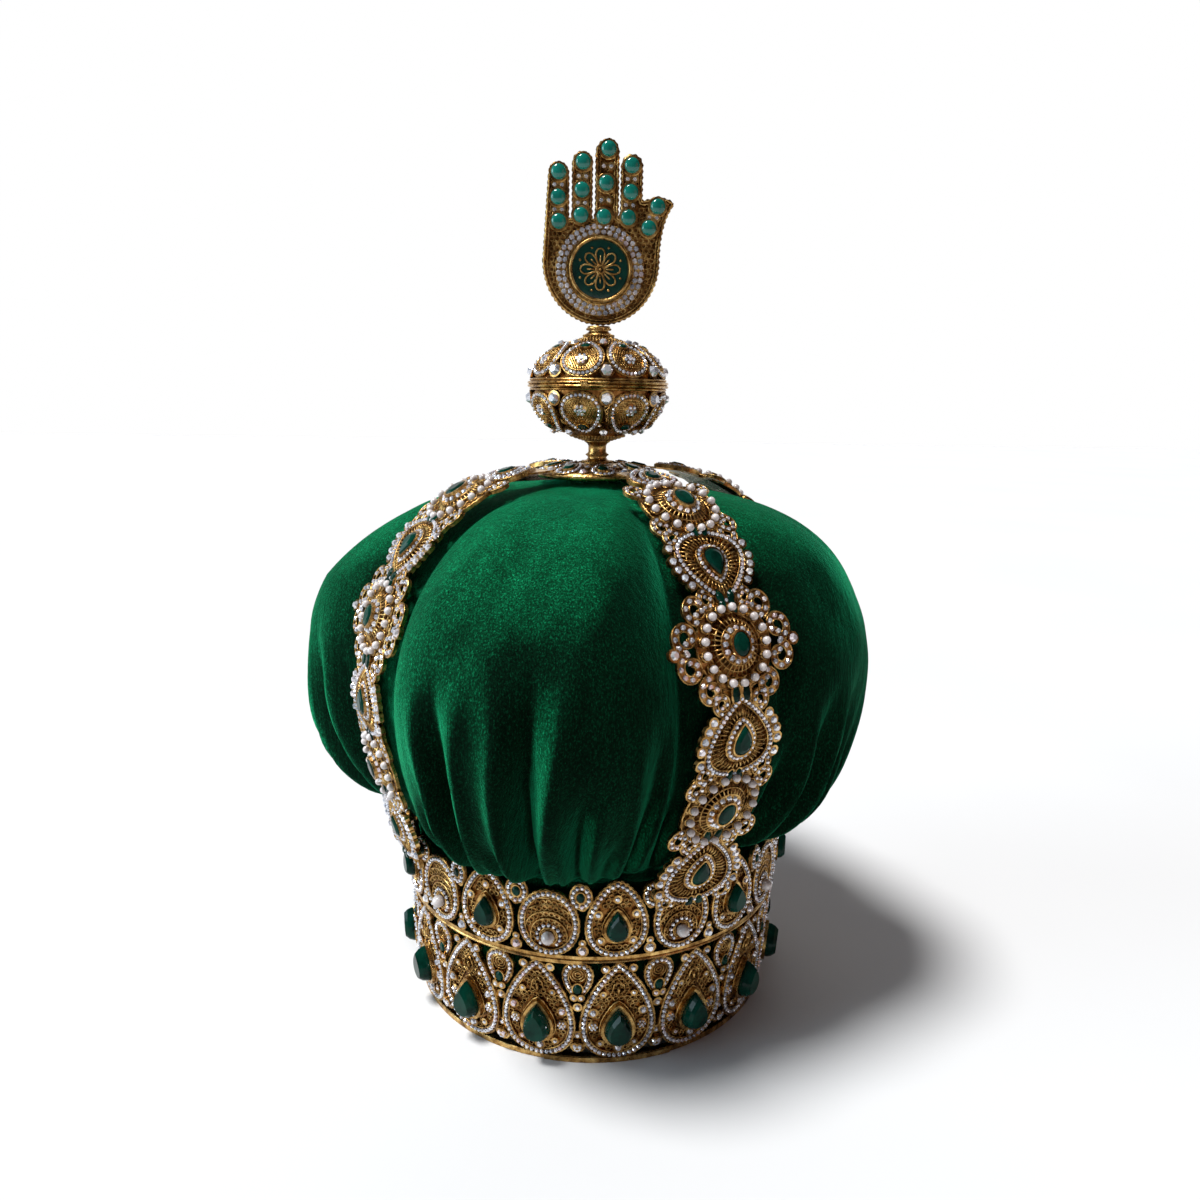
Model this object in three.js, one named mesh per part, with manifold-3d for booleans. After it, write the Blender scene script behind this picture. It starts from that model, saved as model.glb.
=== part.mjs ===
// Ceremonial crown: a puffed velvet cap on a two-tier jewelled circlet, four jewelled arches that meet
// under a pierced orb, and an open flat hand on the orb.
// Millimetres, +Z up, the hand facing -Y. The origin is the middle of the rim that the crown stands on.
import * as THREE from "three";
import { mergeVertices } from "three/addons/utils/BufferGeometryUtils.js";
import Module from "manifold-3d";

const wasm = await Module();
wasm.setup();

const DEG = Math.PI / 180;
const QUARTER = Math.PI / 2;
const GAP = 0.3; // clearance between neighbouring pieces

// Circlet: the wall leans out from its foot to its top with a step at the middle rim, and radii are at the
// plaques' inner faces
const WALL = { foot: 88.6, middle: 92.6, step: 0.7, top: 94.2, middleZ: 53.5, topZ: 92, plate: 2.2 };
const RIM = { proud: 0.6, height: 2.6, sides: 32 }; // proud: how far it stands past the plaques' faces
const LOWER = {
  count: 16,
  turn: 8,
  plaque: { width: 35.4, height: 51.6, z: 27.2, points: 12, fullness: 0.25 },
  stone: { width: 12.4, height: 18.4, z: 21.5, points: 8, girdle: 3.4, crown: 4.2, table: 0.6 },
  drop: { width: 14.6, height: 20.5, z: 43.2, points: 8, fullness: 0.25 },
};
const UPPER = {
  count: 10,
  turn: 7,
  pear: { width: 29, height: 37.8, z: 74.4, points: 10, fullness: 0.55 },
  round: { width: 28.2, height: 32.4, z: 71.7 },
  ear: { width: 10.4, height: 12.6, x: 14.4, z: 86 },
  stone: { width: 9.6, height: 14, z: 72.4, points: 8, girdle: 2.4, crown: 2.8, table: 0.55 },
  pearl: { base: 3.2, top: 1.9, raise: 3.2, z: 65.5, sides: 10 },
  stripHeight: 1.8,
};
// Corners of a round plaque's outline, in degrees round its right-hand petal and down its right-hand side
const EAR_ANGLES = [150, 95, 40, -15, -70];
const FLANK_ANGLES = [10, -25, -60];
const HEADBAND = { bottomZ: 14, topZ: 89.7, thick: 2, clearance: 1.1, sides: 32 };

// Velvet cap: a row for each section, with the radius under an arch, the radius at the middle of a lobe,
// and the share of its lobe's sag that the section takes
const CAP_SECTIONS = [
  { z: 90, valley: 92.6, lobe: 92.6, sag: 0 },
  { z: 94.8, valley: 93.3, lobe: 93.5, sag: 0 },
  { z: 98.5, valley: 96.6, lobe: 104, sag: 0.6 },
  { z: 107, valley: 101.6, lobe: 115, sag: 1 },
  { z: 121, valley: 107.2, lobe: 127, sag: 0.75 },
  { z: 142, valley: 113.2, lobe: 135.5, sag: 0.35 },
  { z: 163, valley: 115, lobe: 139.5, sag: 0 },
  { z: 184, valley: 112.6, lobe: 139, sag: 0 },
  { z: 206, valley: 104, lobe: 131, sag: 0 },
  { z: 225, valley: 91.5, lobe: 116, sag: 0 },
  { z: 240.5, valley: 73.5, lobe: 94, sag: 0 },
  { z: 250.5, valley: 50, lobe: 67, sag: 0 },
  { z: 256, valley: 16, lobe: 20, sag: 0 },
];
const CAP_INNER_ROWS = [11, 9, 7, 4, 1, 0]; // the sections that the inside follows, from the top down
// Gathers of one lobe from arch to arch: how deep each furrow is and the height where it dies out
const CAP_FURROWS = [
  { depth: 2, reach: 125 },
  { depth: 5.6, reach: 142 },
  { depth: 6.4, reach: 170 },
  { depth: 5, reach: 140 },
  { depth: 6.8, reach: 176 },
  { depth: 5.6, reach: 134 },
  { depth: 2.4, reach: 152 },
];
const CAP = { wall: 3.6, trough: 14, puff: 3, gatherZ: 94.6, fullZ: 104 };
// The four lobes in order from the right-hand arch: how full each is and how far it sags over the circlet
const LOBES = [
  { swell: 0.972, sag: 8 },
  { swell: 1, sag: 5 },
  { swell: 1.006, sag: 8 },
  { swell: 1, sag: 0 },
];

// Arches: a row for each ornament from the foot to the crest, at the middle of the plate
const ARCH = { count: 4, turn: 30.5, plate: 2.6, joint: 8 };
// Degrees that the first arch's foot stands aside, and the height where that ends
const ARCH_LEAN = { foot: -4.6, topZ: 172 };
const ARCH_FOOT = { r: 101.4, z: 82 };
const ARCH_END = { r: 30, z: 263 };
const ARCH_STATIONS = [
  { kind: "pear", r: 105, z: 99.4 },
  { kind: "rosette", r: 112.8, z: 129.8 },
  { kind: "pear", r: 118.6, z: 162.4 },
  { kind: "winged", r: 111.8, z: 199 },
  { kind: "drop", r: 96, z: 229 },
  { kind: "rosette", r: 71.6, z: 251 },
  { kind: "leaf", r: 46, z: 261 },
];
// Half the width of each kind of ornament at distances along the arch from its middle
const ARCH_OUTLINES = {
  pear: [
    { along: -15, half: 10 },
    { along: -10, half: 19 },
    { along: -4, half: 21.5 },
    { along: 7, half: 17.5 },
    { along: 16, half: 8.5 },
  ],
  drop: [
    { along: -15, half: 8.5 },
    { along: -7, half: 17.5 },
    { along: 4, half: 21.5 },
    { along: 10, half: 19 },
    { along: 15, half: 10 },
  ],
  rosette: [
    { along: -15, half: 13.5 },
    { along: -8, half: 20 },
    { along: 8, half: 20 },
    { along: 15, half: 13.5 },
  ],
  winged: [
    { along: -20.5, half: 12 },
    { along: -16, half: 19 },
    { along: -7, half: 29 },
    { along: 4, half: 31.5 },
    { along: 14, half: 24 },
    { along: 19, half: 10 },
  ],
  leaf: [
    { along: -10, half: 9 },
    { along: -4, half: 13.5 },
    { along: 5, half: 12 },
    { along: 12, half: 8 },
  ],
};
const ARCH_STONE = { width: 10, height: 14, points: 8, raise: 3, table: 0.55 };
const BOSS = { base: 8, top: 4, raise: 5, sides: 8 };
// Pierced scrolls on each side of the winged rosette
const SCROLLS = [
  { x: 14.8, y: 14.4, radius: 3 },
  { x: 22.4, y: 5, radius: 3.4 },
  { x: 21.6, y: -6.4, radius: 3.2 },
  { x: 13, y: -15, radius: 2.4 },
];
const SCROLL_SIDES = 6;

// Crest, stem, orb and neck, each a row of radii up the axis
const POST_SIDES = 12;
const CREST_SIDES = 16;
const CREST_ROWS = [
  { r: 28.6, z: 258.4 },
  { r: 29.2, z: 261.4 },
  { r: 13, z: 264.6 },
];
const STEM_ROWS = [
  { r: 8, z: 264.9 },
  { r: 4.8, z: 267.4 },
  { r: 4.6, z: 274 },
  { r: 6.5, z: 275.8 },
];
// Each half of the orb, with half the angle of the slot between two petals
const ORB_LOWER_ROWS = [
  { r: 7, z: 276.1, slot: 8 },
  { r: 22.9, z: 281.8, slot: 3.5 },
  { r: 29.2, z: 287.5, slot: 4 },
  { r: 32.1, z: 293.2, slot: 7 },
  { r: 32.6, z: 300.5, slot: 7 },
];
const ORB_UPPER_ROWS = [
  { r: 32.6, z: 303.9, slot: 7 },
  { r: 31, z: 310.1, slot: 7 },
  { r: 26.8, z: 315.7, slot: 4 },
  { r: 16.5, z: 321.3, slot: 3.5 },
  { r: 7, z: 324, slot: 8 },
];
const ORB = { wall: 2, petals: 8, turn: 30, slotBands: [1, 2], taper: 0.08 }; // taper: of the inside
const SEAM = { inner: 31, outer: 34, bottomZ: 300.8, topZ: 303.6, sides: 24 };
const NECK_ROWS = [
  { r: 7.4, z: 324.3 },
  { r: 5, z: 327 },
  { r: 5.6, z: 329.5 },
];

// Hand: a row for each finger from the little finger on, in the plane of the hand
const HAND = { thick: 4.4, turn: 4, rootZ: 377, footDrop: 0.4 };
const PALM = { x: 0.7, z: 358, halfWidth: 27.6, depth: 28.6 };
const FINGERS = [
  { x: -19.3, tip: 401, halfWidth: 5 },
  { x: -8.4, tip: 406, halfWidth: 4.9 },
  { x: 3.1, tip: 411.4, halfWidth: 5.6 },
  { x: 14.5, tip: 405.4, halfWidth: 5.2 },
];
const THUMB = { rootZ: 385.4, topX: 29.5, topZ: 389, tipX: 35, tipZ: 384.4, neckX: 28.2, neckZ: 376 };
const CABOCHON = { radius: 3.5, shoulder: 3, top: 1.6, shoulderZ: 1.3, topZ: 2.3, sides: 10 };
// Heights of the cabochons on each finger, and the two on the thumb
const CABOCHON_ROWS = [
  { x: -19.4, z: 396.5 },
  { x: -19.6, z: 385.7 },
  { x: -19.3, z: 375.2 },
  { x: -8.2, z: 401 },
  { x: -8.6, z: 389 },
  { x: -9, z: 378.1 },
  { x: 3.5, z: 406.8 },
  { x: 2.6, z: 392.2 },
  { x: 1.6, z: 377.6 },
  { x: 14.3, z: 400 },
  { x: 13.9, z: 388.6 },
  { x: 13, z: 377.5 },
  { x: 26.6, z: 382.6 },
  { x: 22.6, z: 373.2 },
];
const MEDALLION = { x: 0.1, z: 354.3, radius: 14.8, rim: 1.6, thick: 2.6, dish: 1, sides: 16 };

const gold = new THREE.MeshStandardMaterial({ color: 0xb08a45, roughness: 0.35, metalness: 1 });
const velvet = new THREE.MeshStandardMaterial({ color: 0x0b3d24, roughness: 0.95, metalness: 0 });
const emerald = new THREE.MeshStandardMaterial({ color: 0x06301f, roughness: 0.08, metalness: 0 });
const turquoise = new THREE.MeshStandardMaterial({ color: 0x0b8a76, roughness: 0.15, metalness: 0 });
const enamel = new THREE.MeshStandardMaterial({ color: 0x0a2c20, roughness: 0.2, metalness: 0 });

// Geometry from rings of points with the same count, in order, closed by a face at each end
function loft(rings) {
  const count = rings[0].length;
  const index = [];
  for (let row = 0; row + 1 < rings.length; row += 1) {
    for (let column = 0; column < count; column += 1) {
      const next = (column + 1) % count;
      const a = row * count + column;
      const b = row * count + next;
      index.push(a, b, b + count, a, b + count, a + count);
    }
  }
  const last = (rings.length - 1) * count;
  for (let column = 1; column + 1 < count; column += 1) {
    index.push(0, column + 1, column);
    index.push(last, last + column, last + column + 1);
  }
  const geometry = new THREE.BufferGeometry().setFromPoints(rings.flat());
  geometry.setIndex(index);
  return geometry;
}

function circle(radius, z, sides) {
  const points = [];
  for (let side = 0; side < sides; side += 1) {
    const angle = (side / sides) * 2 * Math.PI;
    points.push(new THREE.Vector3(radius * Math.cos(angle), radius * Math.sin(angle), z));
  }
  return points;
}

// A body turned about Z from a table of radii and heights
function turned(rows, sides) {
  return loft(rows.map((row) => circle(row.r, row.z, sides)));
}

// A ring about Z whose section is given by its corners, as radius and height
function ring(corners, sides) {
  const section = [...corners, corners[0]].map(([radius, z]) => new THREE.Vector2(radius, z));
  return new THREE.LatheGeometry(section, sides).rotateX(QUARTER);
}

function hoop(inner, outer, bottom, top, sides) {
  const corners = [
    [inner, bottom],
    [outer, bottom],
    [outer, top],
    [inner, top],
  ];
  return ring(corners, sides);
}

// Outline of a drop with its point up, about the middle of its height; fullness 1 makes it an oval
function pearOutline({ width, height, points, fullness = 0 }) {
  const widest = 0.7698; // largest value of sin(t) sin(t / 2)
  const outline = [];
  for (let step = 0; step < points; step += 1) {
    const t = (step / points) * 2 * Math.PI;
    const across = Math.sin(t) * THREE.MathUtils.lerp(Math.sin(t / 2) / widest, 1, fullness);
    outline.push(new THREE.Vector2((-across * width) / 2, (Math.cos(t) * height) / 2));
  }
  return outline;
}

function plate(outline, thick) {
  return new THREE.ExtrudeGeometry(new THREE.Shape(outline), { depth: thick, bevelEnabled: false });
}

// One level of a pear stone, smaller than its girdle by a scale
function pearLevel(size, scale, z) {
  return pearOutline(size).map((p) => new THREE.Vector3(p.x * scale, p.y * scale, z));
}

// A cut stone: a girdle, a ring of crown facets and a table
function cutStone(size) {
  const top = size.girdle + size.crown;
  return loft([pearLevel(size, 1, 0), pearLevel(size, 1, size.girdle), pearLevel(size, size.table, top)]);
}

const UPPER_FOOT = WALL.middle + WALL.step;

function wallRadius(z) {
  return z <= WALL.middleZ
    ? THREE.MathUtils.mapLinear(z, 0, WALL.middleZ, WALL.foot, WALL.middle)
    : THREE.MathUtils.mapLinear(z, WALL.middleZ, WALL.topZ, UPPER_FOOT, WALL.top);
}

function wallLean(z) {
  return z <= WALL.middleZ
    ? Math.atan((WALL.middle - WALL.foot) / WALL.middleZ)
    : Math.atan((WALL.top - UPPER_FOOT) / (WALL.topZ - WALL.middleZ));
}

// Stands a flat piece on the crown: its x runs to the right, its y upwards and its z outwards
function stand(piece, azimuth, radius, z, lean) {
  const bay = new THREE.Group();
  bay.rotation.z = azimuth * DEG;
  piece.position.set(0, -radius, z);
  piece.rotation.x = QUARTER + lean;
  bay.add(piece);
  return bay;
}

function onWall(piece, azimuth, z, standOff) {
  return stand(piece, azimuth, wallRadius(z) + standOff, z, wallLean(z));
}

function solidOf(piece) {
  const bare = new THREE.BufferGeometry();
  bare.setAttribute("position", piece.geometry.getAttribute("position").clone());
  bare.setIndex(piece.geometry.index);
  bare.applyMatrix4(piece.matrixWorld);
  const merged = mergeVertices(bare);
  return new wasm.Manifold(
    new wasm.Mesh({
      numProp: 3,
      vertProperties: Float32Array.from(merged.getAttribute("position").array),
      triVerts: Uint32Array.from(merged.index.array),
    }),
  );
}

function solidsIn(objects) {
  const solids = [];
  for (const object of objects) {
    object.updateMatrixWorld(true);
    object.traverse((piece) => {
      if (piece.isMesh) solids.push(solidOf(piece));
    });
  }
  return solids;
}

// One mesh from pieces that are soldered together, with cutters taken out of it
function soldered(name, material, pieces, cutters = []) {
  const whole = solidsIn(pieces).reduce((sum, solid) => sum.add(solid));
  const pierced = solidsIn(cutters).reduce((rest, solid) => rest.subtract(solid), whole);
  const mesh = pierced.getMesh();
  const geometry = new THREE.BufferGeometry();
  geometry.setAttribute("position", new THREE.BufferAttribute(Float32Array.from(mesh.vertProperties), 3));
  geometry.setIndex(Array.from(mesh.triVerts));
  return named(name, geometry, material);
}

function named(name, geometry, material) {
  const mesh = new THREE.Mesh(geometry, material);
  mesh.name = name;
  return mesh;
}

function lowerAzimuths() {
  return Array.from({ length: LOWER.count }, (_, bay) => LOWER.turn + (bay * 360) / LOWER.count);
}

function upperAzimuths(offset) {
  return Array.from({ length: UPPER.count }, (_, bay) => UPPER.turn + offset + (bay * 360) / UPPER.count);
}

// A rim that the plaques are soldered into
function rim(bottom, height) {
  const radius = wallRadius(bottom);
  return hoop(radius - RIM.proud, radius + WALL.plate + RIM.proud, bottom, bottom + height, RIM.sides);
}

// Bottom rim, pear plaques, small hanging drops and the middle rim
function lowerCirclet() {
  const { plaque, drop } = LOWER;
  const middleBottom = WALL.middleZ - RIM.height / 2;
  const pieces = [new THREE.Mesh(rim(0, RIM.height)), new THREE.Mesh(rim(middleBottom, RIM.height))];
  for (const azimuth of lowerAzimuths()) {
    const body = plate(pearOutline(plaque), WALL.plate);
    pieces.push(onWall(new THREE.Mesh(body), azimuth, plaque.z, 0));
    const hanging = plate(pearOutline(drop), WALL.plate);
    hanging.rotateZ(Math.PI);
    pieces.push(onWall(new THREE.Mesh(hanging), azimuth + 180 / LOWER.count, drop.z, 0));
  }
  return soldered("lower_circlet", gold, pieces);
}

// Outline of a round plaque that carries a small petal at each shoulder
function earedOutline() {
  const { round, ear } = UPPER;
  const onOval = (oval, x, y, angle) => {
    const across = (oval.width / 2) * Math.cos(angle * DEG);
    return new THREE.Vector2(x + across, y + (oval.height / 2) * Math.sin(angle * DEG));
  };
  const right = EAR_ANGLES.map((angle) => onOval(ear, ear.x, ear.z - round.z, angle));
  right.push(...FLANK_ANGLES.map((angle) => onOval(round, 0, 0, angle)));
  const left = right.map((p) => new THREE.Vector2(-p.x, p.y)).reverse();
  return [onOval(round, 0, 0, 90), ...right, onOval(round, 0, 0, -90), ...left];
}

// Pear and round plaques in turn on a thin strip, each round one with a pearl
function upperCirclet() {
  const { pear, round, pearl, stripHeight } = UPPER;
  const pieces = [new THREE.Mesh(rim(WALL.middleZ + RIM.height / 2 + GAP, stripHeight))];
  for (const azimuth of upperAzimuths(0)) {
    const body = plate(pearOutline(pear), WALL.plate);
    pieces.push(onWall(new THREE.Mesh(body), azimuth, pear.z, 0));
  }
  for (const azimuth of upperAzimuths(180 / UPPER.count)) {
    pieces.push(onWall(new THREE.Mesh(plate(earedOutline(), WALL.plate)), azimuth, round.z, 0));
    const rows = [
      { r: pearl.base, z: WALL.plate / 2 },
      { r: pearl.top, z: WALL.plate + pearl.raise },
    ];
    pieces.push(onWall(new THREE.Mesh(turned(rows, pearl.sides)), azimuth, pearl.z, 0));
  }
  return soldered("upper_circlet", gold, pieces);
}

function headband() {
  const outer = (z) => wallRadius(Math.min(z, WALL.middleZ)) - HEADBAND.clearance;
  const { bottomZ, topZ, thick } = HEADBAND;
  const corners = [
    [outer(bottomZ) - thick, bottomZ],
    [outer(bottomZ), bottomZ],
    [outer(topZ), topZ],
    [outer(topZ) - thick, topZ],
  ];
  return named("headband", ring(corners, HEADBAND.sides), velvet);
}

// Share of a lobe's fullness at an angle from the arch that bounds it, 0 in the trough under the arch
function lobeShare(fromArch) {
  const half = 180 / ARCH.count;
  const nearest = half - Math.abs(half - fromArch);
  const inward = Math.max(0, (nearest - CAP.trough) / (half - CAP.trough));
  return 1 - (1 - inward) ** CAP.puff;
}

function furrowDepth(column, z) {
  if (column % 2 === 0) return 0;
  const furrow = CAP_FURROWS[(column - 1) / 2];
  const rise = THREE.MathUtils.clamp((z - CAP.gatherZ) / (CAP.fullZ - CAP.gatherZ), 0, 1);
  const fall = THREE.MathUtils.clamp((furrow.reach - z) / (furrow.reach - CAP.fullZ), 0, 1);
  return furrow.depth * rise * fall;
}

// Degrees that the first arch leans aside at a height, fading out up the arch
function archLean(z) {
  const climb = (z - ARCH_FOOT.z) / (ARCH_LEAN.topZ - ARCH_FOOT.z);
  return ARCH_LEAN.foot * (1 - THREE.MathUtils.smoothstep(climb, 0, 1));
}

// One section of the cap: the lobes swell out between the arches, and furrows gather them at the band
function capRing(section, inset, drop) {
  const columnsPerLobe = 2 * CAP_FURROWS.length;
  const points = [];
  for (let column = 0; column < columnsPerLobe * ARCH.count; column += 1) {
    const inLobe = column % columnsPerLobe;
    const { swell, sag } = LOBES[Math.floor(column / columnsPerLobe)];
    const share = lobeShare((inLobe / columnsPerLobe) * (360 / ARCH.count));
    const full = section.valley + (section.lobe * swell - section.valley) * share;
    const radius = full - furrowDepth(inLobe, section.z) - inset;
    const lobes = column / columnsPerLobe;
    const nearFirst = Math.max(0, 1 - Math.min(lobes, ARCH.count - lobes));
    const azimuth = (ARCH.turn + (lobes * 360) / ARCH.count + nearFirst * archLean(section.z)) * DEG;
    const z = section.z - drop - sag * section.sag * share;
    points.push(new THREE.Vector3(radius * Math.sin(azimuth), -radius * Math.cos(azimuth), z));
  }
  return points;
}

function velvetCap() {
  const topZ = CAP_SECTIONS[CAP_SECTIONS.length - 1].z;
  const inside = CAP_INNER_ROWS.map((row) => {
    const section = CAP_SECTIONS[row];
    const drop = section.z < CAP.fullZ ? 0 : (CAP.wall * section.z) / topZ;
    return capRing(section, CAP.wall, drop);
  });
  const outside = CAP_SECTIONS.map((section) => capRing(section, 0, 0));
  return named("velvet_cap", loft([...inside, ...outside]), velvet);
}

const archCurve = new THREE.CatmullRomCurve3(
  [ARCH_FOOT, ...ARCH_STATIONS, ARCH_END].map((at) => new THREE.Vector3(at.r, at.z, 0)),
);

// Length of the arch from its foot to each ornament
function stationLengths() {
  const fine = 20;
  const lengths = archCurve.getLengths((ARCH_STATIONS.length + 1) * fine);
  return ARCH_STATIONS.map((_, order) => lengths[(order + 1) * fine]);
}

// The curved plate of an arch, as wide at each row as the ornament there
function archPlate() {
  const total = archCurve.getLength();
  const rows = [{ at: 0, half: ARCH.joint }];
  stationLengths().forEach((length, order) => {
    const outline = ARCH_OUTLINES[ARCH_STATIONS[order].kind];
    rows.push(...outline.map(({ along, half }) => ({ at: length + along, half })));
  });
  rows.push({ at: total, half: ARCH.joint });
  const sections = rows.map(({ at, half }) => {
    const point = archCurve.getPointAt(at / total);
    const tangent = archCurve.getTangentAt(at / total);
    const corner = (side, face) => {
      const lift = (face * ARCH.plate) / 2;
      return new THREE.Vector3(side * half, -(point.x + lift * tangent.y), point.y - lift * tangent.x);
    };
    return [corner(-1, 1), corner(1, 1), corner(1, -1), corner(-1, -1)];
  });
  return loft(sections);
}

// The raised stone or boss of an ornament, seated in the arch's plate
function archBoss(kind) {
  if (kind === "rosette" || kind === "winged") {
    const rows = [
      { r: BOSS.base, z: 0 },
      { r: BOSS.top, z: ARCH.plate / 2 + BOSS.raise },
    ];
    return turned(rows, BOSS.sides);
  }
  const top = ARCH.plate / 2 + ARCH_STONE.raise;
  const geometry = loft([pearLevel(ARCH_STONE, 1, 0), pearLevel(ARCH_STONE, ARCH_STONE.table, top)]);
  return kind === "drop" ? geometry.rotateZ(Math.PI) : geometry;
}

// Turns each point round the crown's axis by the lean at its height
function leanAside(positions) {
  const axis = new THREE.Vector3(0, 0, 1);
  for (let order = 0; order < positions.count; order += 1) {
    const point = new THREE.Vector3().fromBufferAttribute(positions, order);
    point.applyAxisAngle(axis, archLean(point.z) * DEG);
    positions.setXYZ(order, point.x, point.y, point.z);
  }
}

function arch(number) {
  const pieces = [new THREE.Mesh(archPlate())];
  const cutters = [];
  ARCH_STATIONS.forEach(({ kind, r, z }, order) => {
    const tangent = archCurve.getTangent((order + 1) / (ARCH_STATIONS.length + 1));
    const lean = Math.atan2(tangent.x, tangent.y);
    pieces.push(stand(new THREE.Mesh(archBoss(kind)), 0, r, z, lean));
    if (kind !== "winged") return;
    for (const side of [-1, 1]) {
      for (const scroll of SCROLLS) {
        const ends = [-ARCH.plate, ARCH.plate].map((depth) => ({ r: scroll.radius, z: depth }));
        const hole = turned(ends, SCROLL_SIDES);
        hole.translate(side * scroll.x, scroll.y, 0);
        cutters.push(stand(new THREE.Mesh(hole), 0, r, z, lean));
      }
    }
  });
  const mesh = soldered(`arch_${number}`, gold, pieces, cutters);
  if (number === 1) leanAside(mesh.geometry.attributes.position);
  mesh.rotation.z = (ARCH.turn + ((number - 1) * 360) / ARCH.count) * DEG;
  return mesh;
}

// Half of the orb: a bowl with an open slot between each two petals
function orbHalf(name, rows) {
  const columns = 2 * ORB.petals;
  const middleZ = (SEAM.bottomZ + SEAM.topZ) / 2;
  const points = [];
  for (const inward of [0, ORB.wall]) {
    for (const { r, z, slot } of rows) {
      const shift = inward && (middleZ - z) * ORB.taper;
      for (let column = 0; column < columns; column += 1) {
        const between = ORB.turn + (Math.floor(column / 2) + 0.5) * (360 / ORB.petals);
        const azimuth = (between + (column % 2 === 0 ? -slot : slot)) * DEG;
        const radius = r - inward;
        points.push(new THREE.Vector3(radius * Math.sin(azimuth), -radius * Math.cos(azimuth), z + shift));
      }
    }
  }
  const isOpen = (band, column) => column % 2 === 0 && ORB.slotBands.includes(band);
  const isSolid = (band, column) => band >= 0 && band + 1 < rows.length && !isOpen(band, column);
  const at = (row, column) => row * columns + (column % columns);
  const behind = rows.length * columns;
  const index = [];
  for (let band = 0; band + 1 < rows.length; band += 1) {
    for (let column = 0; column < columns; column += 1) {
      if (isOpen(band, column)) continue;
      const above = band + 1;
      const corners = [at(band, column), at(band, column + 1), at(above, column + 1), at(above, column)];
      const [a, b, c, d] = corners;
      index.push(a, b, c, a, c, d);
      index.push(a + behind, c + behind, b + behind, a + behind, d + behind, c + behind);
      const neighbours = [
        isSolid(band - 1, column),
        isSolid(band, column + 1),
        isSolid(band + 1, column),
        isSolid(band, column + columns - 1),
      ];
      neighbours.forEach((solid, edge) => {
        if (solid) return;
        const from = corners[edge];
        const to = corners[(edge + 1) % corners.length];
        index.push(to, from, from + behind, to, from + behind, to + behind);
      });
    }
  }
  const geometry = new THREE.BufferGeometry().setFromPoints(points);
  geometry.setIndex(index);
  return named(name, geometry, gold);
}

// Outline of the flat hand: up over the fingers, round the thumb and under the palm
function handShape() {
  const shape = new THREE.Shape();
  shape.moveTo(PALM.x - PALM.halfWidth, PALM.z);
  FINGERS.forEach((finger, order) => {
    if (order > 0) shape.lineTo(finger.x - finger.halfWidth, HAND.rootZ);
    shape.absarc(finger.x, finger.tip - finger.halfWidth, finger.halfWidth, Math.PI, 0, true);
    const last = order === FINGERS.length - 1;
    shape.lineTo(finger.x + finger.halfWidth, last ? THUMB.rootZ : HAND.rootZ);
  });
  shape.quadraticCurveTo(THUMB.topX, THUMB.topZ, THUMB.tipX, THUMB.tipZ);
  shape.quadraticCurveTo(THUMB.neckX, THUMB.neckZ, PALM.x + PALM.halfWidth, PALM.z);
  shape.absellipse(PALM.x, PALM.z, PALM.halfWidth, PALM.depth, 0, Math.PI, true, 0);
  return shape;
}

function hand() {
  const geometry = new THREE.ExtrudeGeometry(handShape(), {
    depth: HAND.thick,
    bevelEnabled: false,
    curveSegments: 4,
  });
  geometry.translate(0, HAND.footDrop, -HAND.thick / 2);
  return named("hand", geometry, gold);
}

function medallion() {
  const { radius, rim, thick, dish, sides } = MEDALLION;
  const rows = [
    { r: radius, z: 0 },
    { r: radius, z: thick },
    { r: radius - rim, z: thick },
    { r: radius - rim, z: thick - dish },
  ];
  const mesh = named("medallion", turned(rows, sides), enamel);
  mesh.position.set(MEDALLION.x, MEDALLION.z, HAND.thick / 2 + GAP);
  return mesh;
}

function cabochon(place, order) {
  const rows = [
    { r: CABOCHON.radius, z: 0 },
    { r: CABOCHON.shoulder, z: CABOCHON.shoulderZ },
    { r: CABOCHON.top, z: CABOCHON.topZ },
  ];
  const mesh = named(`cabochon_${order + 1}`, turned(rows, CABOCHON.sides), turquoise);
  mesh.position.set(place.x, place.z, HAND.thick / 2 + GAP);
  return mesh;
}

// The hand with what is set on its face, upright and facing the front
function handGroup() {
  const group = new THREE.Group();
  group.add(hand(), medallion(), ...CABOCHON_ROWS.map(cabochon));
  group.rotation.x = QUARTER;
  const turnedHand = new THREE.Group();
  turnedHand.rotation.z = HAND.turn * DEG;
  turnedHand.add(group);
  return turnedHand;
}

function stones() {
  const bays = [];
  lowerAzimuths().forEach((azimuth, order) => {
    const stone = named(`emerald_lower_${order + 1}`, cutStone(LOWER.stone), emerald);
    bays.push(onWall(stone, azimuth, LOWER.stone.z, WALL.plate + GAP));
  });
  upperAzimuths(0).forEach((azimuth, order) => {
    const stone = named(`emerald_upper_${order + 1}`, cutStone(UPPER.stone), emerald);
    bays.push(onWall(stone, azimuth, UPPER.stone.z, WALL.plate + GAP));
  });
  return bays;
}

const crown = new THREE.Group();
crown.add(velvetCap(), headband(), lowerCirclet(), upperCirclet());
for (let number = 1; number <= ARCH.count; number += 1) crown.add(arch(number));
crown.add(named("crest", turned(CREST_ROWS, CREST_SIDES), gold));
crown.add(named("stem", turned(STEM_ROWS, POST_SIDES), gold));
crown.add(orbHalf("orb_lower", ORB_LOWER_ROWS));
crown.add(named("orb_seam", hoop(SEAM.inner, SEAM.outer, SEAM.bottomZ, SEAM.topZ, SEAM.sides), gold));
crown.add(orbHalf("orb_upper", ORB_UPPER_ROWS));
crown.add(named("neck", turned(NECK_ROWS, POST_SIDES), gold));
crown.add(handGroup(), ...stones());

export default crown;
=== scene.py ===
import math

import bpy
import numpy as np
from mathutils import Euler, Matrix


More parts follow.
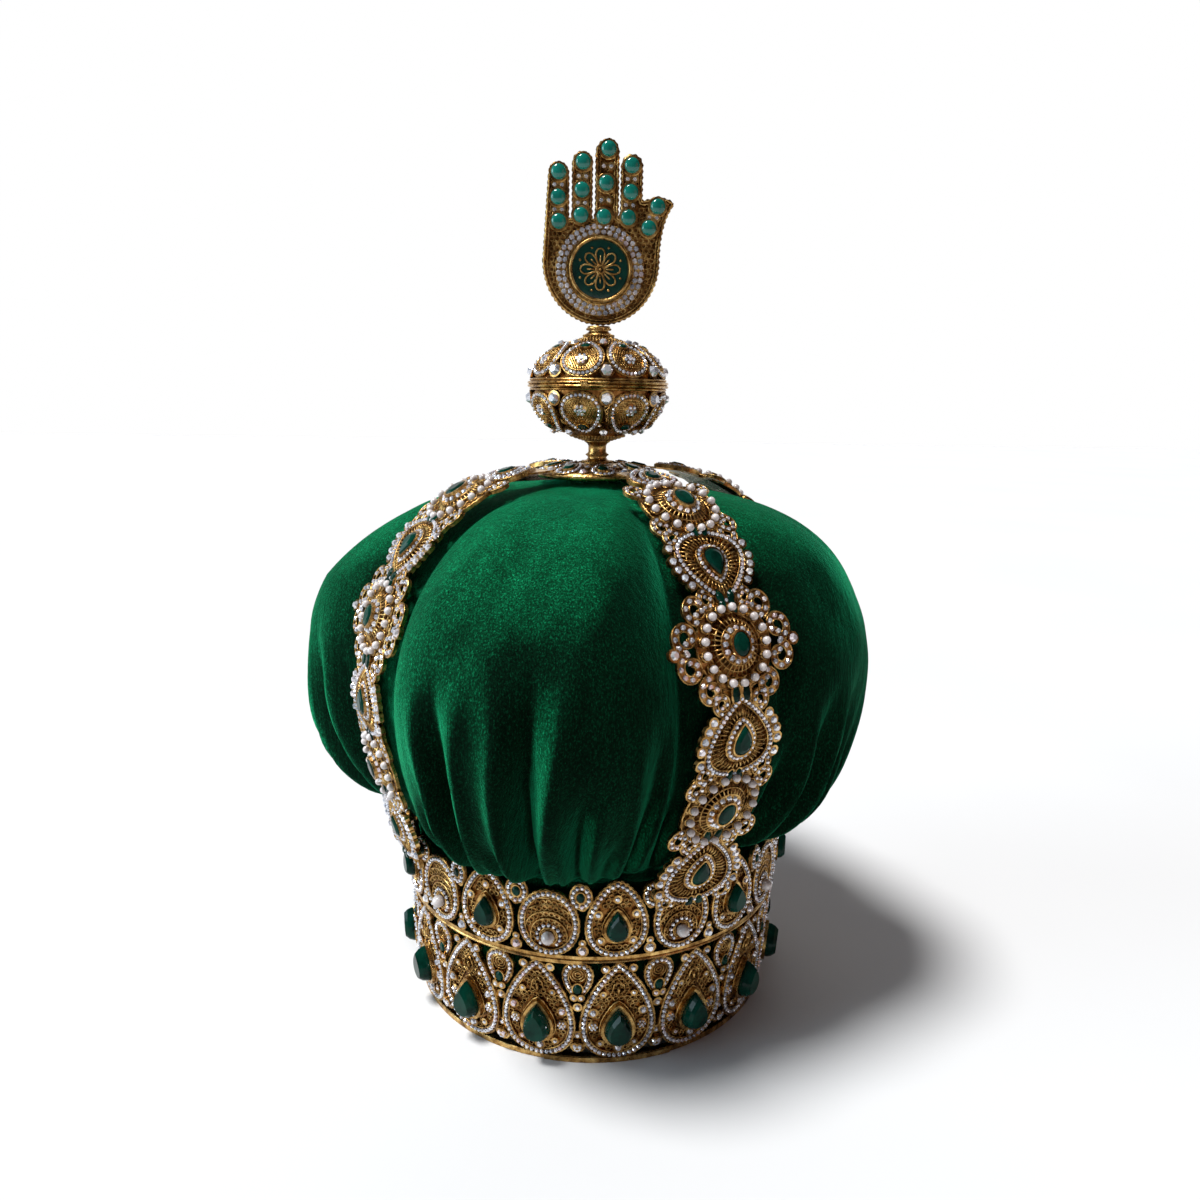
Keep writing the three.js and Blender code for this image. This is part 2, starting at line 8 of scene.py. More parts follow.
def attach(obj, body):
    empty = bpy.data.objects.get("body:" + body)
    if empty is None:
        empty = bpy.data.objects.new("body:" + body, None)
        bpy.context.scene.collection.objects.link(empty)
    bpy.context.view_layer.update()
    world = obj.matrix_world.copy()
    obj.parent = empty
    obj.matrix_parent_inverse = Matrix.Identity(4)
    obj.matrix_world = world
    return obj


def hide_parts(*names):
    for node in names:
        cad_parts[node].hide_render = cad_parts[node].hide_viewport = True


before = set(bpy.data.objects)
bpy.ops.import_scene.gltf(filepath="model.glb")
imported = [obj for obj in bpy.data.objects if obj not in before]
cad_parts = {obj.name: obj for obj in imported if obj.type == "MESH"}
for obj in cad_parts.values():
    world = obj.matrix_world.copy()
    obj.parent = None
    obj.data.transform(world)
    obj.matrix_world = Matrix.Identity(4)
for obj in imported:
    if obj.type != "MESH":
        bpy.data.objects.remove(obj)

# Lengths are in millimetres until a mesh is made, and angles are in degrees from the front towards +X.
MM = 0.001
DEG = math.pi / 180
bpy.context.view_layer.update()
rng = np.random.default_rng(seed=11)

# Camera and studio; the clip distances and the floor are in metres
CAMERA = {"place": (2.33, -459.26, 296.43), "pitch": 12.34, "roll": 0.76, "lens": 27.80, "sensor": 36}
CAMERA_CLIP = (0.01, 50)
FLOOR_SIZE = 12
WORLD = {"left": (0.125, 0.145, 0.18), "right": (0.05, 0.036, 0.032), "behind": (1, 1, 1)}
# name, direction that the light comes from, strength, soft angle, colour
LIGHTS = [
    ("key", (-0.36, -0.12, 0.93), 4.4, 16, (1, 1, 1)),
    ("side", (-0.96, -0.22, 0.20), 2.0, 35, (0.70, 0.87, 1)),
    ("fill", (0.70, -0.62, 0.10), 0.17, 40, (1, 0.46, 0.32)),
]

# Circlet: the wall leans out, and radii are at the plaques' inner faces
WALL = {"foot": 88.6, "middle": 92.6, "step": 0.7, "top": 94.2, "middle_z": 53.5, "top_z": 92, "plate": 2.2}
# A stone is width and height, and its cut is the height of the girdle and of the facets over it
LOWER = {"count": 16, "turn": 8, "z": 27.2, "drop_z": 43.2,
         "stone_z": 21.5, "stone": (12.4, 18.4), "cut": (3.4, 4)}
UPPER = {"count": 10, "turn": 7, "pear_z": 74.4, "round_z": 71.7, "pearl_z": 65.5, "petal_z": 86,
         "stone_z": 72.4, "stone": (9.6, 14), "cut": (2.4, 2.6)}
# How far the large stones stand out of their plates
STONE_LIFT = 0.3
# Bottom rim: radius past the wall, height
RIM = [(-0.6, 0.2), (-0.4, 0), (2.5, 0), (2.8, 0.3), (2.8, 2.3), (2.5, 2.6), (-0.4, 2.6), (-0.6, 2.4)]
MIDDLE_RIM = {"wall_z": 52.2, "inner": -0.6, "outer": 1.6, "low": 52.3, "high": 54.7, "bead": 1.75}
UPPER_RIM = {"inner": -0.6, "outer": 2.4, "low": 55.1, "high": 56.6}
# Where a rim's ends lap: radius past the wall, height, half thickness, half height, first and last angle
RIM_LAP = (2.9, 1.3, 0.35, 1.2, -13, 24)
MIDDLE_LAP = (2.6, 53.3, 0.35, 0.8, -16, -2)
HEADBAND = {"bottom": 14, "top": 89.7, "thick": 2, "clearance": 1.1, "rows": 12, "columns": 240}
# Unevenness of the headband's cloth: waves round it, their turn with height, size, and how far in they lie
HEADBAND_WAVES = (40, 0.2, 0.12, 0.1)

# Velvet cap: height, radius under an arch, radius at the middle of a lobe, share of the lobe's sag
CAP_SECTIONS = [
    (90, 92.6, 92.6, 0), (94.8, 93.3, 93.6, 0), (98.5, 96.6, 104, 0.6), (107, 101.6, 115, 1),
    (121, 107.2, 127, 0.75), (142, 113.2, 135.5, 0.35), (163, 115, 139.5, 0), (184, 112.6, 139, 0),
    (206, 104, 131, 0), (225, 91.5, 116, 0), (240.5, 73.5, 94, 0), (250.5, 50, 67, 0), (256, 16, 20, 0),
]
# Wall, half angle of the trough under an arch, roundness of a lobe, counts of the mesh, and the heights where
# the gathers start and are full
CAP = {"wall": 3.6, "trough": 13, "puff": 3, "columns": 456, "rows": 74, "gather": 93.5, "full": 105}
# The inner face lies lower than the outer one from this height on, in full after the same rise again
CAP_DOME = 120
# The hem from the inner face to the outer one: radius, height
CAP_HEM = [(89, 86.4), (90.4, 86.4), (90.4, 90)]
# Lobes from the right round to the front: how full each is at four heights, and how far it sags
LOBE_HEIGHTS = (121, 163, 206, 240)
LOBES = [
    ((0.950, 0.955, 0.968, 1.015), 8), ((1, 1, 1, 1), 5),
    ((1.105, 1.085, 1.07, 0.99), 9), ((0.985, 1, 1, 1), 5),
]
# Gathers: lobe in the same order, angle from its first arch, half width in degrees, depth,
# height where it dies out, lean in degrees
FURROWS = [
    (0, 15, 2.2, 5, 168, 2), (0, 22.5, 2.4, 6.5, 185, 4), (0, 31, 2.4, 6.5, 176, 4), (0, 39, 2.2, 5, 150, 1),
    (0, 47, 2.8, 8, 196, 0), (0, 56, 2.2, 5, 150, -1), (0, 64, 2.6, 7, 182, -2), (0, 74, 2.2, 4.5, 150, -3),
    (1, 14, 2.2, 4.5, 150, 2), (1, 23, 2.6, 7, 190, 2), (1, 32, 2.2, 5.5, 150, 1), (1, 40.5, 2.6, 8, 200, 0),
    (1, 49, 2.2, 5, 142, 0), (1, 57.5, 2.6, 7.5, 186, -2), (1, 66, 2.2, 5.5, 150, -2),
    (1, 75.5, 2.4, 5, 166, -3),
    (2, 14, 2.2, 5, 160, 3), (2, 23, 2.4, 6.5, 182, 3), (2, 33, 2.6, 7.5, 192, 1), (2, 42.5, 2.2, 5, 148, 0),
    (2, 51, 2.6, 7.5, 190, 0), (2, 61, 2.4, 6.5, 200, -2), (2, 69.5, 2.2, 6.5, 205, -4),
    (2, 77.5, 2, 5, 190, -5),
    (3, 15, 2, 3.5, 132, 4), (3, 24, 2.2, 5, 140, 5), (3, 33.2, 2.3, 8.5, 204, 0), (3, 41.5, 1.9, 4, 130, 0),
    (3, 49.1, 2.7, 10, 212, 0), (3, 59.5, 2.3, 7, 160, -1.5), (3, 66, 1.8, 3.5, 128, 0),
    (3, 71.8, 2.1, 5.5, 186, 0), (3, 79, 2, 4, 150, -2),
]
# Form of every gather: the rise that takes its lean once and the most times it does, how far and how fast it
# wanders, how sharply it dies out, its width at the foot and gain with the lean, depth, sharpness, raised lips
FURROW = {"rise": 80, "most": 1.5, "wander": 0.7, "pace": 0.06, "fade": 1.25, "width": 0.72, "spread": 0.4,
          "depth": 1.75, "power": 1.15, "lip": 0.55, "lip_at": 1.8, "lip_width": 0.7}
# Small pleats at the circlet: how many, how unevenly they stand, where they fade and over what rise, size
PLEATS = {"count": 74, "swing": 1.3, "swings": 9, "top": 96, "fade": 30, "size": 0.8}
# Slow waves of the stuffed cloth: count round the cap, turn with height, size, phase
RIPPLES = [
    (7, 0.021, 0.7, 0.4), (11, -0.03, 0.55, 2.1), (17, 0.045, 0.45, 4), (23, -0.06, 0.35, 1.2),
    (31, 0.09, 0.22, 5.1), (43, -0.13, 0.15, 3.3),
]

# Arches: kind, radius and height of each ornament from the foot to the crest, at the middle of the plate
ARCH = {"count": 4, "turn": 30.5, "plate": 2.6, "spine": 7.6}
# The first arch leans aside by this angle at its foot, and stands straight from this height on
ARCH_LEAN = {"foot": -4.6, "top_z": 172}
ARCH_FOOT = (101.4, 82)
ARCH_END = (30, 263)
STATIONS = [
    ("pear", 105, 99.4), ("rosette", 112.8, 129.8), ("pear", 118.6, 162.4), ("winged", 111.8, 199),
    ("drop", 96, 229), ("rosette", 71.6, 251), ("leaf", 46, 261),
]

# Crest, stem, orb and neck: radius and height up the axis
CREST = {"count": 8, "turn": 8, "edge": 58, "edge_z": 260.2}
CREST_ROWS = [(28.6, 258.4), (29.4, 259.6), (29, 260.9), (13, 264.3)]
STEM_ROWS = [
    (8, 264.9), (7.4, 265.8), (5.2, 266.6), (4.5, 267.6), (5.1, 268.6), (5.1, 269.4), (4.4, 270.4),
    (4.4, 273.4), (5, 274.4), (6.3, 275.2), (6.5, 275.8),
]
ORB_LOWER = [(32.6, 300.5), (32.1, 293.2), (29.2, 287.5), (22.9, 281.8), (7, 276.1)]
ORB_UPPER = [(32.6, 303.9), (31, 310.1), (26.8, 315.7), (16.5, 321.3), (7, 324)]
ORB = {"count": 8, "turn": 30, "wall": 1.6, "edge": 32.2}
# Cone at each pole of the orb, and the rings of grains on it: radius, rise from the pole
ORB_POLES = {"orb_lower": 276.4, "orb_upper": 323.7}
ORB_CONE = [(13.5, -2), (9.5, -0.8), (7, 0.2), (5.8, -0.2), (9, -1.8), (13, -3.2)]
ORB_GRAINS = [(13, -1.8), (11, -1.1), (9, -0.5), (7.4, 0)]
# Two rings at the seam, and a wire wound over both near the front
SEAM = {"radius": 32.75, "z": 302.2, "ring": (1.2, 0.75), "wire": 0.4, "reach": (1.35, 1.75), "winds": 5,
        "turn": -13, "sweep": 6}
NECK_ROWS = [(7.4, 324.3), (7, 325.3), (5.4, 326.4), (4.6, 327), (5.2, 327.8), (5.6, 328.5), (5.2, 329.4)]
# Rings of grains on the stem and the neck: radius, height, size
STEM_GRAINS = [(7.4, 265.6, 0.6), (5.2, 269, 0.5)]
NECK_GRAINS = [(7.1, 325, 0.6), (5.6, 328, 0.5)]

# Hand: middle, tip height and half width of each finger, in the plane of the hand
HAND = {"thick": 4.4, "turn": 4, "root": 377, "lift": 0.4}
PALM = {"x": 0.7, "z": 358, "half": 27.6, "depth": 28.6}
FINGERS = [(-19.3, 401, 5), (-8.4, 406, 4.9), (3.1, 411.4, 5.6), (14.5, 405.4, 5.2)]
THUMB = {"root": 385.4, "top": (29.5, 389), "tip": (35, 384.4), "neck": (28.2, 376)}
CABOCHONS = [
    (-19.4, 396.5), (-19.6, 385.7), (-19.3, 375.2), (-8.2, 401), (-8.6, 389), (-9, 378.1), (3.5, 406.8),
    (2.6, 392.2), (1.6, 377.6), (14.3, 400), (13.9, 388.6), (13, 377.5), (26.6, 382.6), (22.6, 373.2),
]
MEDALLION = {"middle": (0.1, 354.3), "radius": 14.8, "rim": 1.6, "thick": 2.6, "leaves": 8}
# Stones and the medallion stand this far out of the hand's inner face
HAND_FACE = HAND["thick"] + STONE_LIFT


# Curves in a plane

# The largest value of sin t times sin t/2
PEAR_PEAK = 0.7698
# Share of an inset's depth that its points keep from the curve
INSET_KEPT = 0.97


def unit(vectors):
    return vectors / np.maximum(np.linalg.norm(vectors, axis=-1, keepdims=True), 1e-9)


def smoothstep(value):
    value = np.clip(value, 0, 1)
    return value * value * (3 - 2 * value)


def run_of(path):
    """Distance along a path at each of its points."""
    return np.concatenate([[0], np.cumsum(np.linalg.norm(np.diff(path, axis=0), axis=1))])


def resample(curve, count, closed=True):
    ring = np.vstack([curve, curve[:1]]) if closed else curve
    run = run_of(ring)
    at = np.linspace(0, run[-1], count, endpoint=not closed)
    return np.stack([np.interp(at, run, ring[:, axis]) for axis in range(ring.shape[1])], 1)


def girth(curve):
    return np.linalg.norm(np.roll(curve, -1, 0) - curve, axis=1).sum()


def placed(curve, x=0.0, y=0.0, turn=0.0):
    c, s = math.cos(turn * DEG), math.sin(turn * DEG)
    return curve @ np.array([[c, s], [-s, c]]) + (x, y)


def turns(count, shift=0.0):
    """Equal steps round a circle, in radians."""
    return (np.arange(count) + shift) / count * 2 * np.pi


def ring_spots(count, reach, x=0.0, y=0.0, shift=0.0):
    """Points at equal steps round a circle."""
    turn = turns(count, shift)
    return np.stack([x + reach * np.cos(turn), y + reach * np.sin(turn)], 1)


def outline_of(t, across, width, height, x, y, turn, count):
    """A closed outline from its share of the half width at each turn from the top."""
    return placed(resample(np.stack([-across * width / 2, np.cos(t) * height / 2], 1), count), x, y, turn)


def pear(width, height, x=0.0, y=0.0, turn=0.0, count=58, full=0.0):
    """A drop with its point up; full 1 makes it an oval."""
    t = np.linspace(0, 2 * np.pi, 400, endpoint=False)
    across = np.sin(t) * ((1 - full) * np.sin(t / 2) / PEAR_PEAK + full)
    return outline_of(t, across, width, height, x, y, turn, count)


def oval(width, height, x=0.0, y=0.0, turn=0.0, count=48):
    t = np.linspace(0, 2 * np.pi, 256, endpoint=False)
    return outline_of(t, np.sin(t), width, height, x, y, turn, count)


def disc(width, x=0.0, y=0.0, count=48):
    return oval(width, width, x, y, count=count)


def marquise(width, height, x=0.0, y=0.0, turn=0.0, count=24):
    t = np.linspace(0, 2 * np.pi, 256, endpoint=False)
    across = np.sin(t) * np.abs(np.sin(t)) ** 0.35
    return outline_of(t, across, width, height, x, y, turn, count)


def clearance(curve, spots):
    return np.linalg.norm(spots[:, None, :] - curve[None], axis=2).min(1)


def inside(curve, spots):
    a, b = curve[None], np.roll(curve, -1, 0)[None]
    x, y = spots[:, :1], spots[:, 1:]
    spans = (a[..., 1] > y) != (b[..., 1] > y)
    rise = np.where(np.abs(b[..., 1] - a[..., 1]) < 1e-12, 1e-12, b[..., 1] - a[..., 1])
    left = x < a[..., 0] + (y - a[..., 1]) * (b[..., 0] - a[..., 0]) / rise
    return (spans & left).sum(1) % 2 == 1


def inset(curve, depth):
    """A curve moved inwards, or outwards where the depth is negative."""
    along = unit(np.roll(curve, -1, 0) - np.roll(curve, 1, 0))
    moved = curve + np.stack([-along[:, 1], along[:, 0]], 1) * depth
    return resample(moved[clearance(curve, moved) > abs(depth) * INSET_KEPT], len(curve))


def spline(points, fine=24):
    """A smooth curve through points, with fine steps between each two."""
    points = np.array(points, float)
    ends = np.vstack([2 * points[0] - points[1], points, 2 * points[-1] - points[-2]])
    t = np.linspace(0, 1, fine, endpoint=False)[:, None]
    out = []
    for i in range(len(points) - 1):
        p0, p1, p2, p3 = ends[i:i + 4]
        d0, d1, d2 = (np.linalg.norm(q - p) ** 0.5 for p, q in ((p0, p1), (p1, p2), (p2, p3)))
        m1 = ((p1 - p0) / d0 - (p2 - p0) / (d0 + d1) + (p2 - p1) / d1) * d1
        m2 = ((p2 - p1) / d1 - (p3 - p1) / (d1 + d2) + (p3 - p2) / d2) * d1
        out.append((2 * t**3 - 3 * t**2 + 1) * p1 + (t**3 - 2 * t**2 + t) * m1
                   + (3 * t**2 - 2 * t**3) * p2 + (t**3 - t**2) * m2)
    return np.vstack([*out, points[-1:]])


# Joined meshes

class Heap:
    """Points and faces that become one mesh."""

    def __init__(self):
        self.points, self.blocks, self.smooth, self.total = [], [], [], 0

    def add(self, points, blocks, smooth=True):
        for block in blocks:
            self.blocks.append(block + self.total)
            self.smooth.append(np.full(len(block), smooth))
        self.points.append(points)
        self.total += len(points)

    def piece(self, name, material, slot, *nodes):
        points = np.concatenate(self.points) * MM
        sizes = np.concatenate([np.full(len(block), block.shape[1]) for block in self.blocks])
        loops = np.concatenate([block.ravel() for block in self.blocks])
        mesh = bpy.data.meshes.new(name)
        mesh.vertices.add(len(points))
        mesh.vertices.foreach_set("co", points.ravel())
        mesh.loops.add(len(loops))
        mesh.loops.foreach_set("vertex_index", loops.astype(np.int32))
        mesh.polygons.add(len(sizes))
        mesh.polygons.foreach_set("loop_start", (np.cumsum(sizes) - sizes).astype(np.int32))
        mesh.update(calc_edges=True)
        mesh.polygons.foreach_set("use_smooth", np.concatenate(self.smooth))
        mesh.validate()
        mesh.materials.append(material)
        obj = bpy.data.objects.new(name, mesh)
        bpy.context.scene.collection.objects.link(obj)
        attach(obj, "root")
        if nodes:
            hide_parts(*nodes)
        return obj


def raised(curve, h):
    """Flat points at a height."""
    return np.column_stack([curve, np.full(len(curve), h)])


def about_axis(radius, turn, z, x=0.0):
    """Points at a radius that stands a turn from the front, and x aside of it."""
    c, s = np.cos(turn), np.sin(turn)
    return np.stack(np.broadcast_arrays(x * c + radius * s, x * s - radius * c, z), 1)


def grid_faces(rows, columns):
    """Four-sided faces between rows of points, each row closed."""
    row, column = np.arange(rows - 1)[:, None], np.arange(columns)[None]
    after = (column + 1) % columns
    a, b = row * columns + column, row * columns + after
    return np.stack([a, b, b + columns, a + columns], -1).reshape(-1, 4)


def loft(heap, rings, smooth=True, ends=True):
    """Skin over rings of points in order, each with the same count."""
    count = len(rings[0])
    blocks = [grid_faces(len(rings), count)]
    if ends:
        blocks.append(np.arange(count)[None, ::-1])
        blocks.append(np.arange(count)[None] + (len(rings) - 1) * count)
    heap.add(np.vstack(rings), blocks, smooth)


def stacked(heap, chart, outline, levels, middle, smooth=False):
    """A closed form from one outline at several scales and heights."""
    loft(heap, [chart(raised(middle + (outline - middle) * scale, h)) for scale, h in levels], smooth)


def circle(radius, z, columns):
    return raised(ring_spots(columns, radius), z)


def turned(heap, rows, columns):
    """A solid turned about the axis, from rows of radius and height."""
    loft(heap, [circle(radius, z, columns) for radius, z in rows])


def hoop(heap, section, columns=192, smooth=True):
    """A ring about the axis whose section is a closed loop of radius and height, outside first."""
    loft(heap, [circle(radius, z, columns) for radius, z in [*section, section[0]]], smooth, ends=False)


def round_section(radius, z, across, up, count=10):
    turn = turns(count)
    return np.stack([radius + across * np.cos(turn), z + up * np.sin(turn)], 1)


def box_section(inner, outer, low, high):
    return [(inner, low), (outer, low), (outer, high), (inner, high)]


def tube(heap, path, normals, radius, closed, sides=6, pitch=0.0):
    """A wire along a path; with a pitch it is twisted from two strands."""
    ahead, behind = np.roll(path, -1, 0), np.roll(path, 1, 0)
    if not closed:
        ahead[-1], behind[0] = path[-1], path[0]
    along = unit(ahead - behind)
    side = unit(np.cross(along, normals))
    up = np.cross(side, along)
    turn = turns(sides)[None]
    reach = np.full((len(path), sides), radius)
    if pitch:
        run = run_of(path)
        twist = max(1, round(run[-1] / pitch)) / run[-1]
        reach = radius * (0.8 + 0.3 * np.cos(2 * turn - 2 * np.pi * twist * run[:, None]))
    ring = np.cos(turn)[..., None] * side[:, None] + np.sin(turn)[..., None] * up[:, None]
    points = path[:, None] + reach[..., None] * ring
    if closed:
        blocks = [grid_faces(len(path) + 1, sides) % (len(path) * sides)]
    else:
        blocks = [grid_faces(len(path), sides), np.arange(sides)[None, ::-1],
                  np.arange(sides)[None] + (len(path) - 1) * sides]
    heap.add(points.reshape(-1, 3), blocks)


def ball(sides, bands):
    """A round bead of radius 1."""
    falls = np.arange(1, bands) / bands * np.pi
    rows = [raised(math.sin(fall) * ring_spots(sides, 1), -math.cos(fall)) for fall in falls]
    points = np.vstack([(0, 0, -1), *rows, (0, 0, 1)])
    last = len(points) - 1
    step = np.arange(sides)
    after = (step + 1) % sides
    low = np.stack([np.zeros(sides, int), 1 + after, 1 + step], 1)
    top = np.stack([np.full(sides, last), last - sides + step, last - sides + after], 1)
    return points, [low, grid_faces(bands - 1, sides) + 1, top]


def brilliant(sides=6, table=0.56):
    """A cut crystal of radius 1 and height 1 with a table and two rings of facets."""
    points = np.vstack([circle(1, 0, sides), raised(ring_spots(sides, table, shift=0.5), 1)])
    step = np.arange(sides)
    after = (step + 1) % sides
    facets = [(step, after, sides + step), (after, sides + after, sides + step)]
    crown = np.vstack([np.stack(corners, 1) for corners in facets])
    return points, [crown, step[None] + sides, step[None, ::-1]]


def loop_of(radius, wire, segments=7, sides=3):
    """A small closed ring of wire lying flat."""
    turn, around = turns(segments)[:, None], turns(sides)
    reach = radius + wire * np.cos(around)[None]
    height = np.broadcast_to(wire * np.sin(around), (segments, sides))
    points = np.stack([reach * np.cos(turn), reach * np.sin(turn), height], -1)
    return points.reshape(-1, 3), [grid_faces(segments + 1, sides) % (segments * sides)]


CRYSTAL = brilliant()
GRAIN = ball(4, 3)
BEAD = ball(11, 7)


def frames_at(chart, spots, step=0.05):
    """Where a chart puts spots, and its three directions there."""
    origin = chart(spots)
    across = unit(chart(spots + (step, 0, 0)) - origin)
    normal = unit(np.cross(across, chart(spots + (0, step, 0)) - origin))
    return origin, np.stack([across, np.cross(normal, across), normal], 1)


def scatter(heap, shape, chart, spots, sizes, smooth=True, spin=False):
    """Copies of one shape at spots of a chart, each with its own size in three directions."""
    points, blocks = shape
    origin, axes = frames_at(chart, spots)
    if spin:
        turn = rng.uniform(0, np.pi, len(spots))[:, None]
        across, up = axes[:, 0].copy(), axes[:, 1].copy()
        axes[:, 0] = across * np.cos(turn) + up * np.sin(turn)
        axes[:, 1] = up * np.cos(turn) - across * np.sin(turn)
    world = np.einsum("mni,mij->mnj", points[None] * sizes[:, None], axes) + origin[:, None]
    offset = (np.arange(len(spots)) * len(points))[:, None, None]
    faces = [(block[None] + offset).reshape(-1, block.shape[1]) for block in blocks]
    heap.add(world.reshape(-1, 3), faces, smooth)


# Ornaments: x across, y up, h out of the plate from its inner face

PLATE_FACE = WALL["plate"]
ARCH_FACE = ARCH["plate"]
ORB_FACE = ORB["wall"]
CREST_FACE = 0.4
# Rings packed in threes: distance between rows, and height of the gap over its row, as shares of the pitch
PACKED_ROW = 0.866
PACKED_GAP = 0.289


class Design:
    """What one ornament carries, in its own flat coordinates."""

    def __init__(self, face=PLATE_FACE):
        self.face = face
        self.bands, self.wires, self.mounds, self.kept, self.ribbons = [], [], [], [], []
        self.grains, self.stones, self.pearls, self.rings = [], [], [], []

    def band(self, outer, inner, low, high):
        self.bands.append((outer, inner, low, high))

    def rope(self, curve, radius, h, pitch=2.6):
        """A twisted wire, four points to each turn."""
        flat = resample(curve, max(12, int(girth(curve) / (pitch / 4))))
        self.wires.append((raised(flat, h), radius, True, pitch))

    def wire(self, points, radius, closed=False):
        self.wires.append((np.array(points, float), radius, closed, 0.0))

    def flat_wire(self, curve, radius, h, step=1.8):
        flat = resample(curve, max(10, int(girth(curve) / step)))
        self.wire(raised(flat, h), radius, True)

    def row(self, curve, radius, spacing, h=None):
        """Crystals side by side along a curve."""
        h = self.face if h is None else h
        for x, y in resample(curve, max(5, round(girth(curve) / spacing))):
            self.stones.append((x, y, h, radius))

    def border(self, curve, stone=1.1, spacing=2.4, rope=0.5, backed=True):
        """A channel of crystals between a twisted edge and a plain wire, with a plate behind the filigree in a
        darker gold that paints the shade there.
        """
        channel = inset(curve, 2 * stone + 2 * rope)
        self.band(curve, channel, 0.3, self.face - 0.4)
        self.rope(inset(curve, rope), rope, self.face - 0.3)
        self.row(inset(curve, stone + 1.7 * rope), stone, spacing)
        self.flat_wire(channel, 0.4, self.face - 0.3)
        if backed:
            self.backing(curve)
        return channel

    def backing(self, outline, margin=1.2, low=0.3, high=1.1):
        # The plate is in a darker gold: painted shade in the recess behind the openwork
        self.mounds.append(("shaded_ground", inset(outline, margin), [(1, low), (1, high)]))

    def crystal(self, x, y, radius, h=None):
        """A crystal in a cup."""
        h = self.face if h is None else h
        cup, hollow = (disc(2 * radius + wall, x, y, count=10) for wall in (1.3, -0.5))
        self.band(cup, hollow, h - 1.6, h + 0.35)
        self.stones.append((x, y, h, radius))
        self.kept.append((x, y, radius + 0.9))

    def flower(self, x, y, reach, stone):
        """Six crystals round one, on a boss."""
        self.stones.append((x, y, self.face + 0.4, stone * 1.15))
        self.stones += [(px, py, self.face, stone) for px, py in ring_spots(6, reach, x, y)]
        levels = [(1, self.face - 1.4), (1, self.face - 0.5), (0.55, self.face + 0.2)]
        self.mounds.append(("gold", disc(2 * (reach + stone) + 0.8, x, y, count=24), levels))
        self.kept.append((x, y, reach + stone + 0.6))

    def gem(self, outline, bezel, low, levels, wall=0.9):
        """A green stone in a bezel; levels are scale and height."""
        self.mounds.append(("emerald", outline, levels))
        self.band(inset(outline, -wall - 0.15), inset(outline, -0.15), low, bezel)

    def seat(self, stone, wall, high):
        """The setting of a large stone, and the outline that it keeps free."""
        self.band(inset(stone, -wall), inset(stone, -0.2), 0.6, high)
        self.rope(inset(stone, -wall - 0.4), 0.5, 2.2)
        return inset(stone, -wall - 0.6)

    def pearl(self, x, y, radius):
        """A pearl in a loop of wire."""
        self.pearls.append((x, y, self.face + radius * 0.55, radius))
        self.rings.append((x, y, self.face - 0.1, radius + 0.45, 0.45))
        self.kept.append((x, y, radius + 0.8))

    def lace(self, curve, pitch, h, avoid=(), wire=0.36, margin=0.2):
        """Small wire rings packed over what is free inside a curve, with a grain between each three."""
        low, high = curve.min(0), curve.max(0)
        rows = np.arange(low[1], high[1], pitch * PACKED_ROW)
        spots = np.array([(x + (pitch / 2) * (k % 2), y) for k, y in enumerate(rows)
                          for x in np.arange(low[0] - pitch, high[0] + pitch, pitch)])
        centre = (low[0] + high[0]) / 2
        spots[:, 0] += centre - np.round((centre - spots[0, 0]) / pitch) * pitch - spots[0, 0]
        free = inside(curve, spots) & (clearance(curve, spots) > pitch / 2 - 0.5 + margin)
        for outline in avoid:
            free &= ~inside(outline, spots) & (clearance(outline, spots) > pitch / 2 - 0.3)
        for x, y, reach in self.kept:
            free &= np.hypot(spots[:, 0] - x, spots[:, 1] - y) > reach + 0.4
        for x, y in spots[free]:
            self.rings.append((x, y, h, pitch / 2 - wire * 0.5, wire))
            self.grains.append((x + pitch / 2, y + pitch * PACKED_GAP, h + 0.25, 0.42))


def crystals(rows, face=PLATE_FACE, h=None, sides=(1,)):
    """An ornament of crystals alone, from x, y and radius of each."""
    d = Design(face)
    for side in sides:
        for x, y, radius in rows:
            d.crystal(x * side, y, radius, h)
    return d


def lay(design, chart, heaps):
    """Puts an ornament on the crown through its chart."""
    gold = heaps["gold"]

    def edges(*rows):
        return [chart(raised(curve, h)) for curve, h in rows]

    for outer, inner, low, high in design.bands:
        rings = edges((outer, low), (outer, high), (inner, high), (inner, low), (outer, low))
        loft(gold, rings, smooth=False, ends=False)
    for left, right, low, high in design.ribbons:
        corners = edges((left, low), (left, high), (right, high), (right, low))
        loft(gold, list(np.stack(corners, 1)), smooth=False)
    for points, radius, closed, pitch in design.wires:
        origin, axes = frames_at(chart, points)
        tube(gold, origin, axes[:, 2], radius, closed, 4, pitch)
    for kind, outline, levels in design.mounds:
        stacked(heaps[kind], chart, outline, levels, outline.mean(0))
    for rows, kind, shape, depth, cut in ((design.grains, "gold", GRAIN, 1, False),
                                          (design.stones, "crystal", CRYSTAL, 0.75, True),
                                          (design.pearls, "pearl", BEAD, 1, False)):
        if rows:
            table = np.array(rows)
            sizes = table[:, 3:] * (1, 1, depth)
            scatter(heaps[kind], shape, chart, table[:, :3], sizes, smooth=not cut, spin=cut)
    table = np.array(design.rings).reshape(-1, 5)
    for radius, wire in sorted({(r, w) for r, w in table[:, 3:]}):
        chosen = table[(table[:, 3] == radius) & (table[:, 4] == wire)]
        scatter(gold, loop_of(radius, wire), chart, chosen[:, :3], np.ones((len(chosen), 3)))


def new_heaps():
    return {kind: Heap() for kind in ("gold", "shaded_ground", "crystal", "pearl", "emerald")}


# Where ornaments stand

def axis_chart(spots):
    """Points that are in the crown's own frame already."""
    return spots


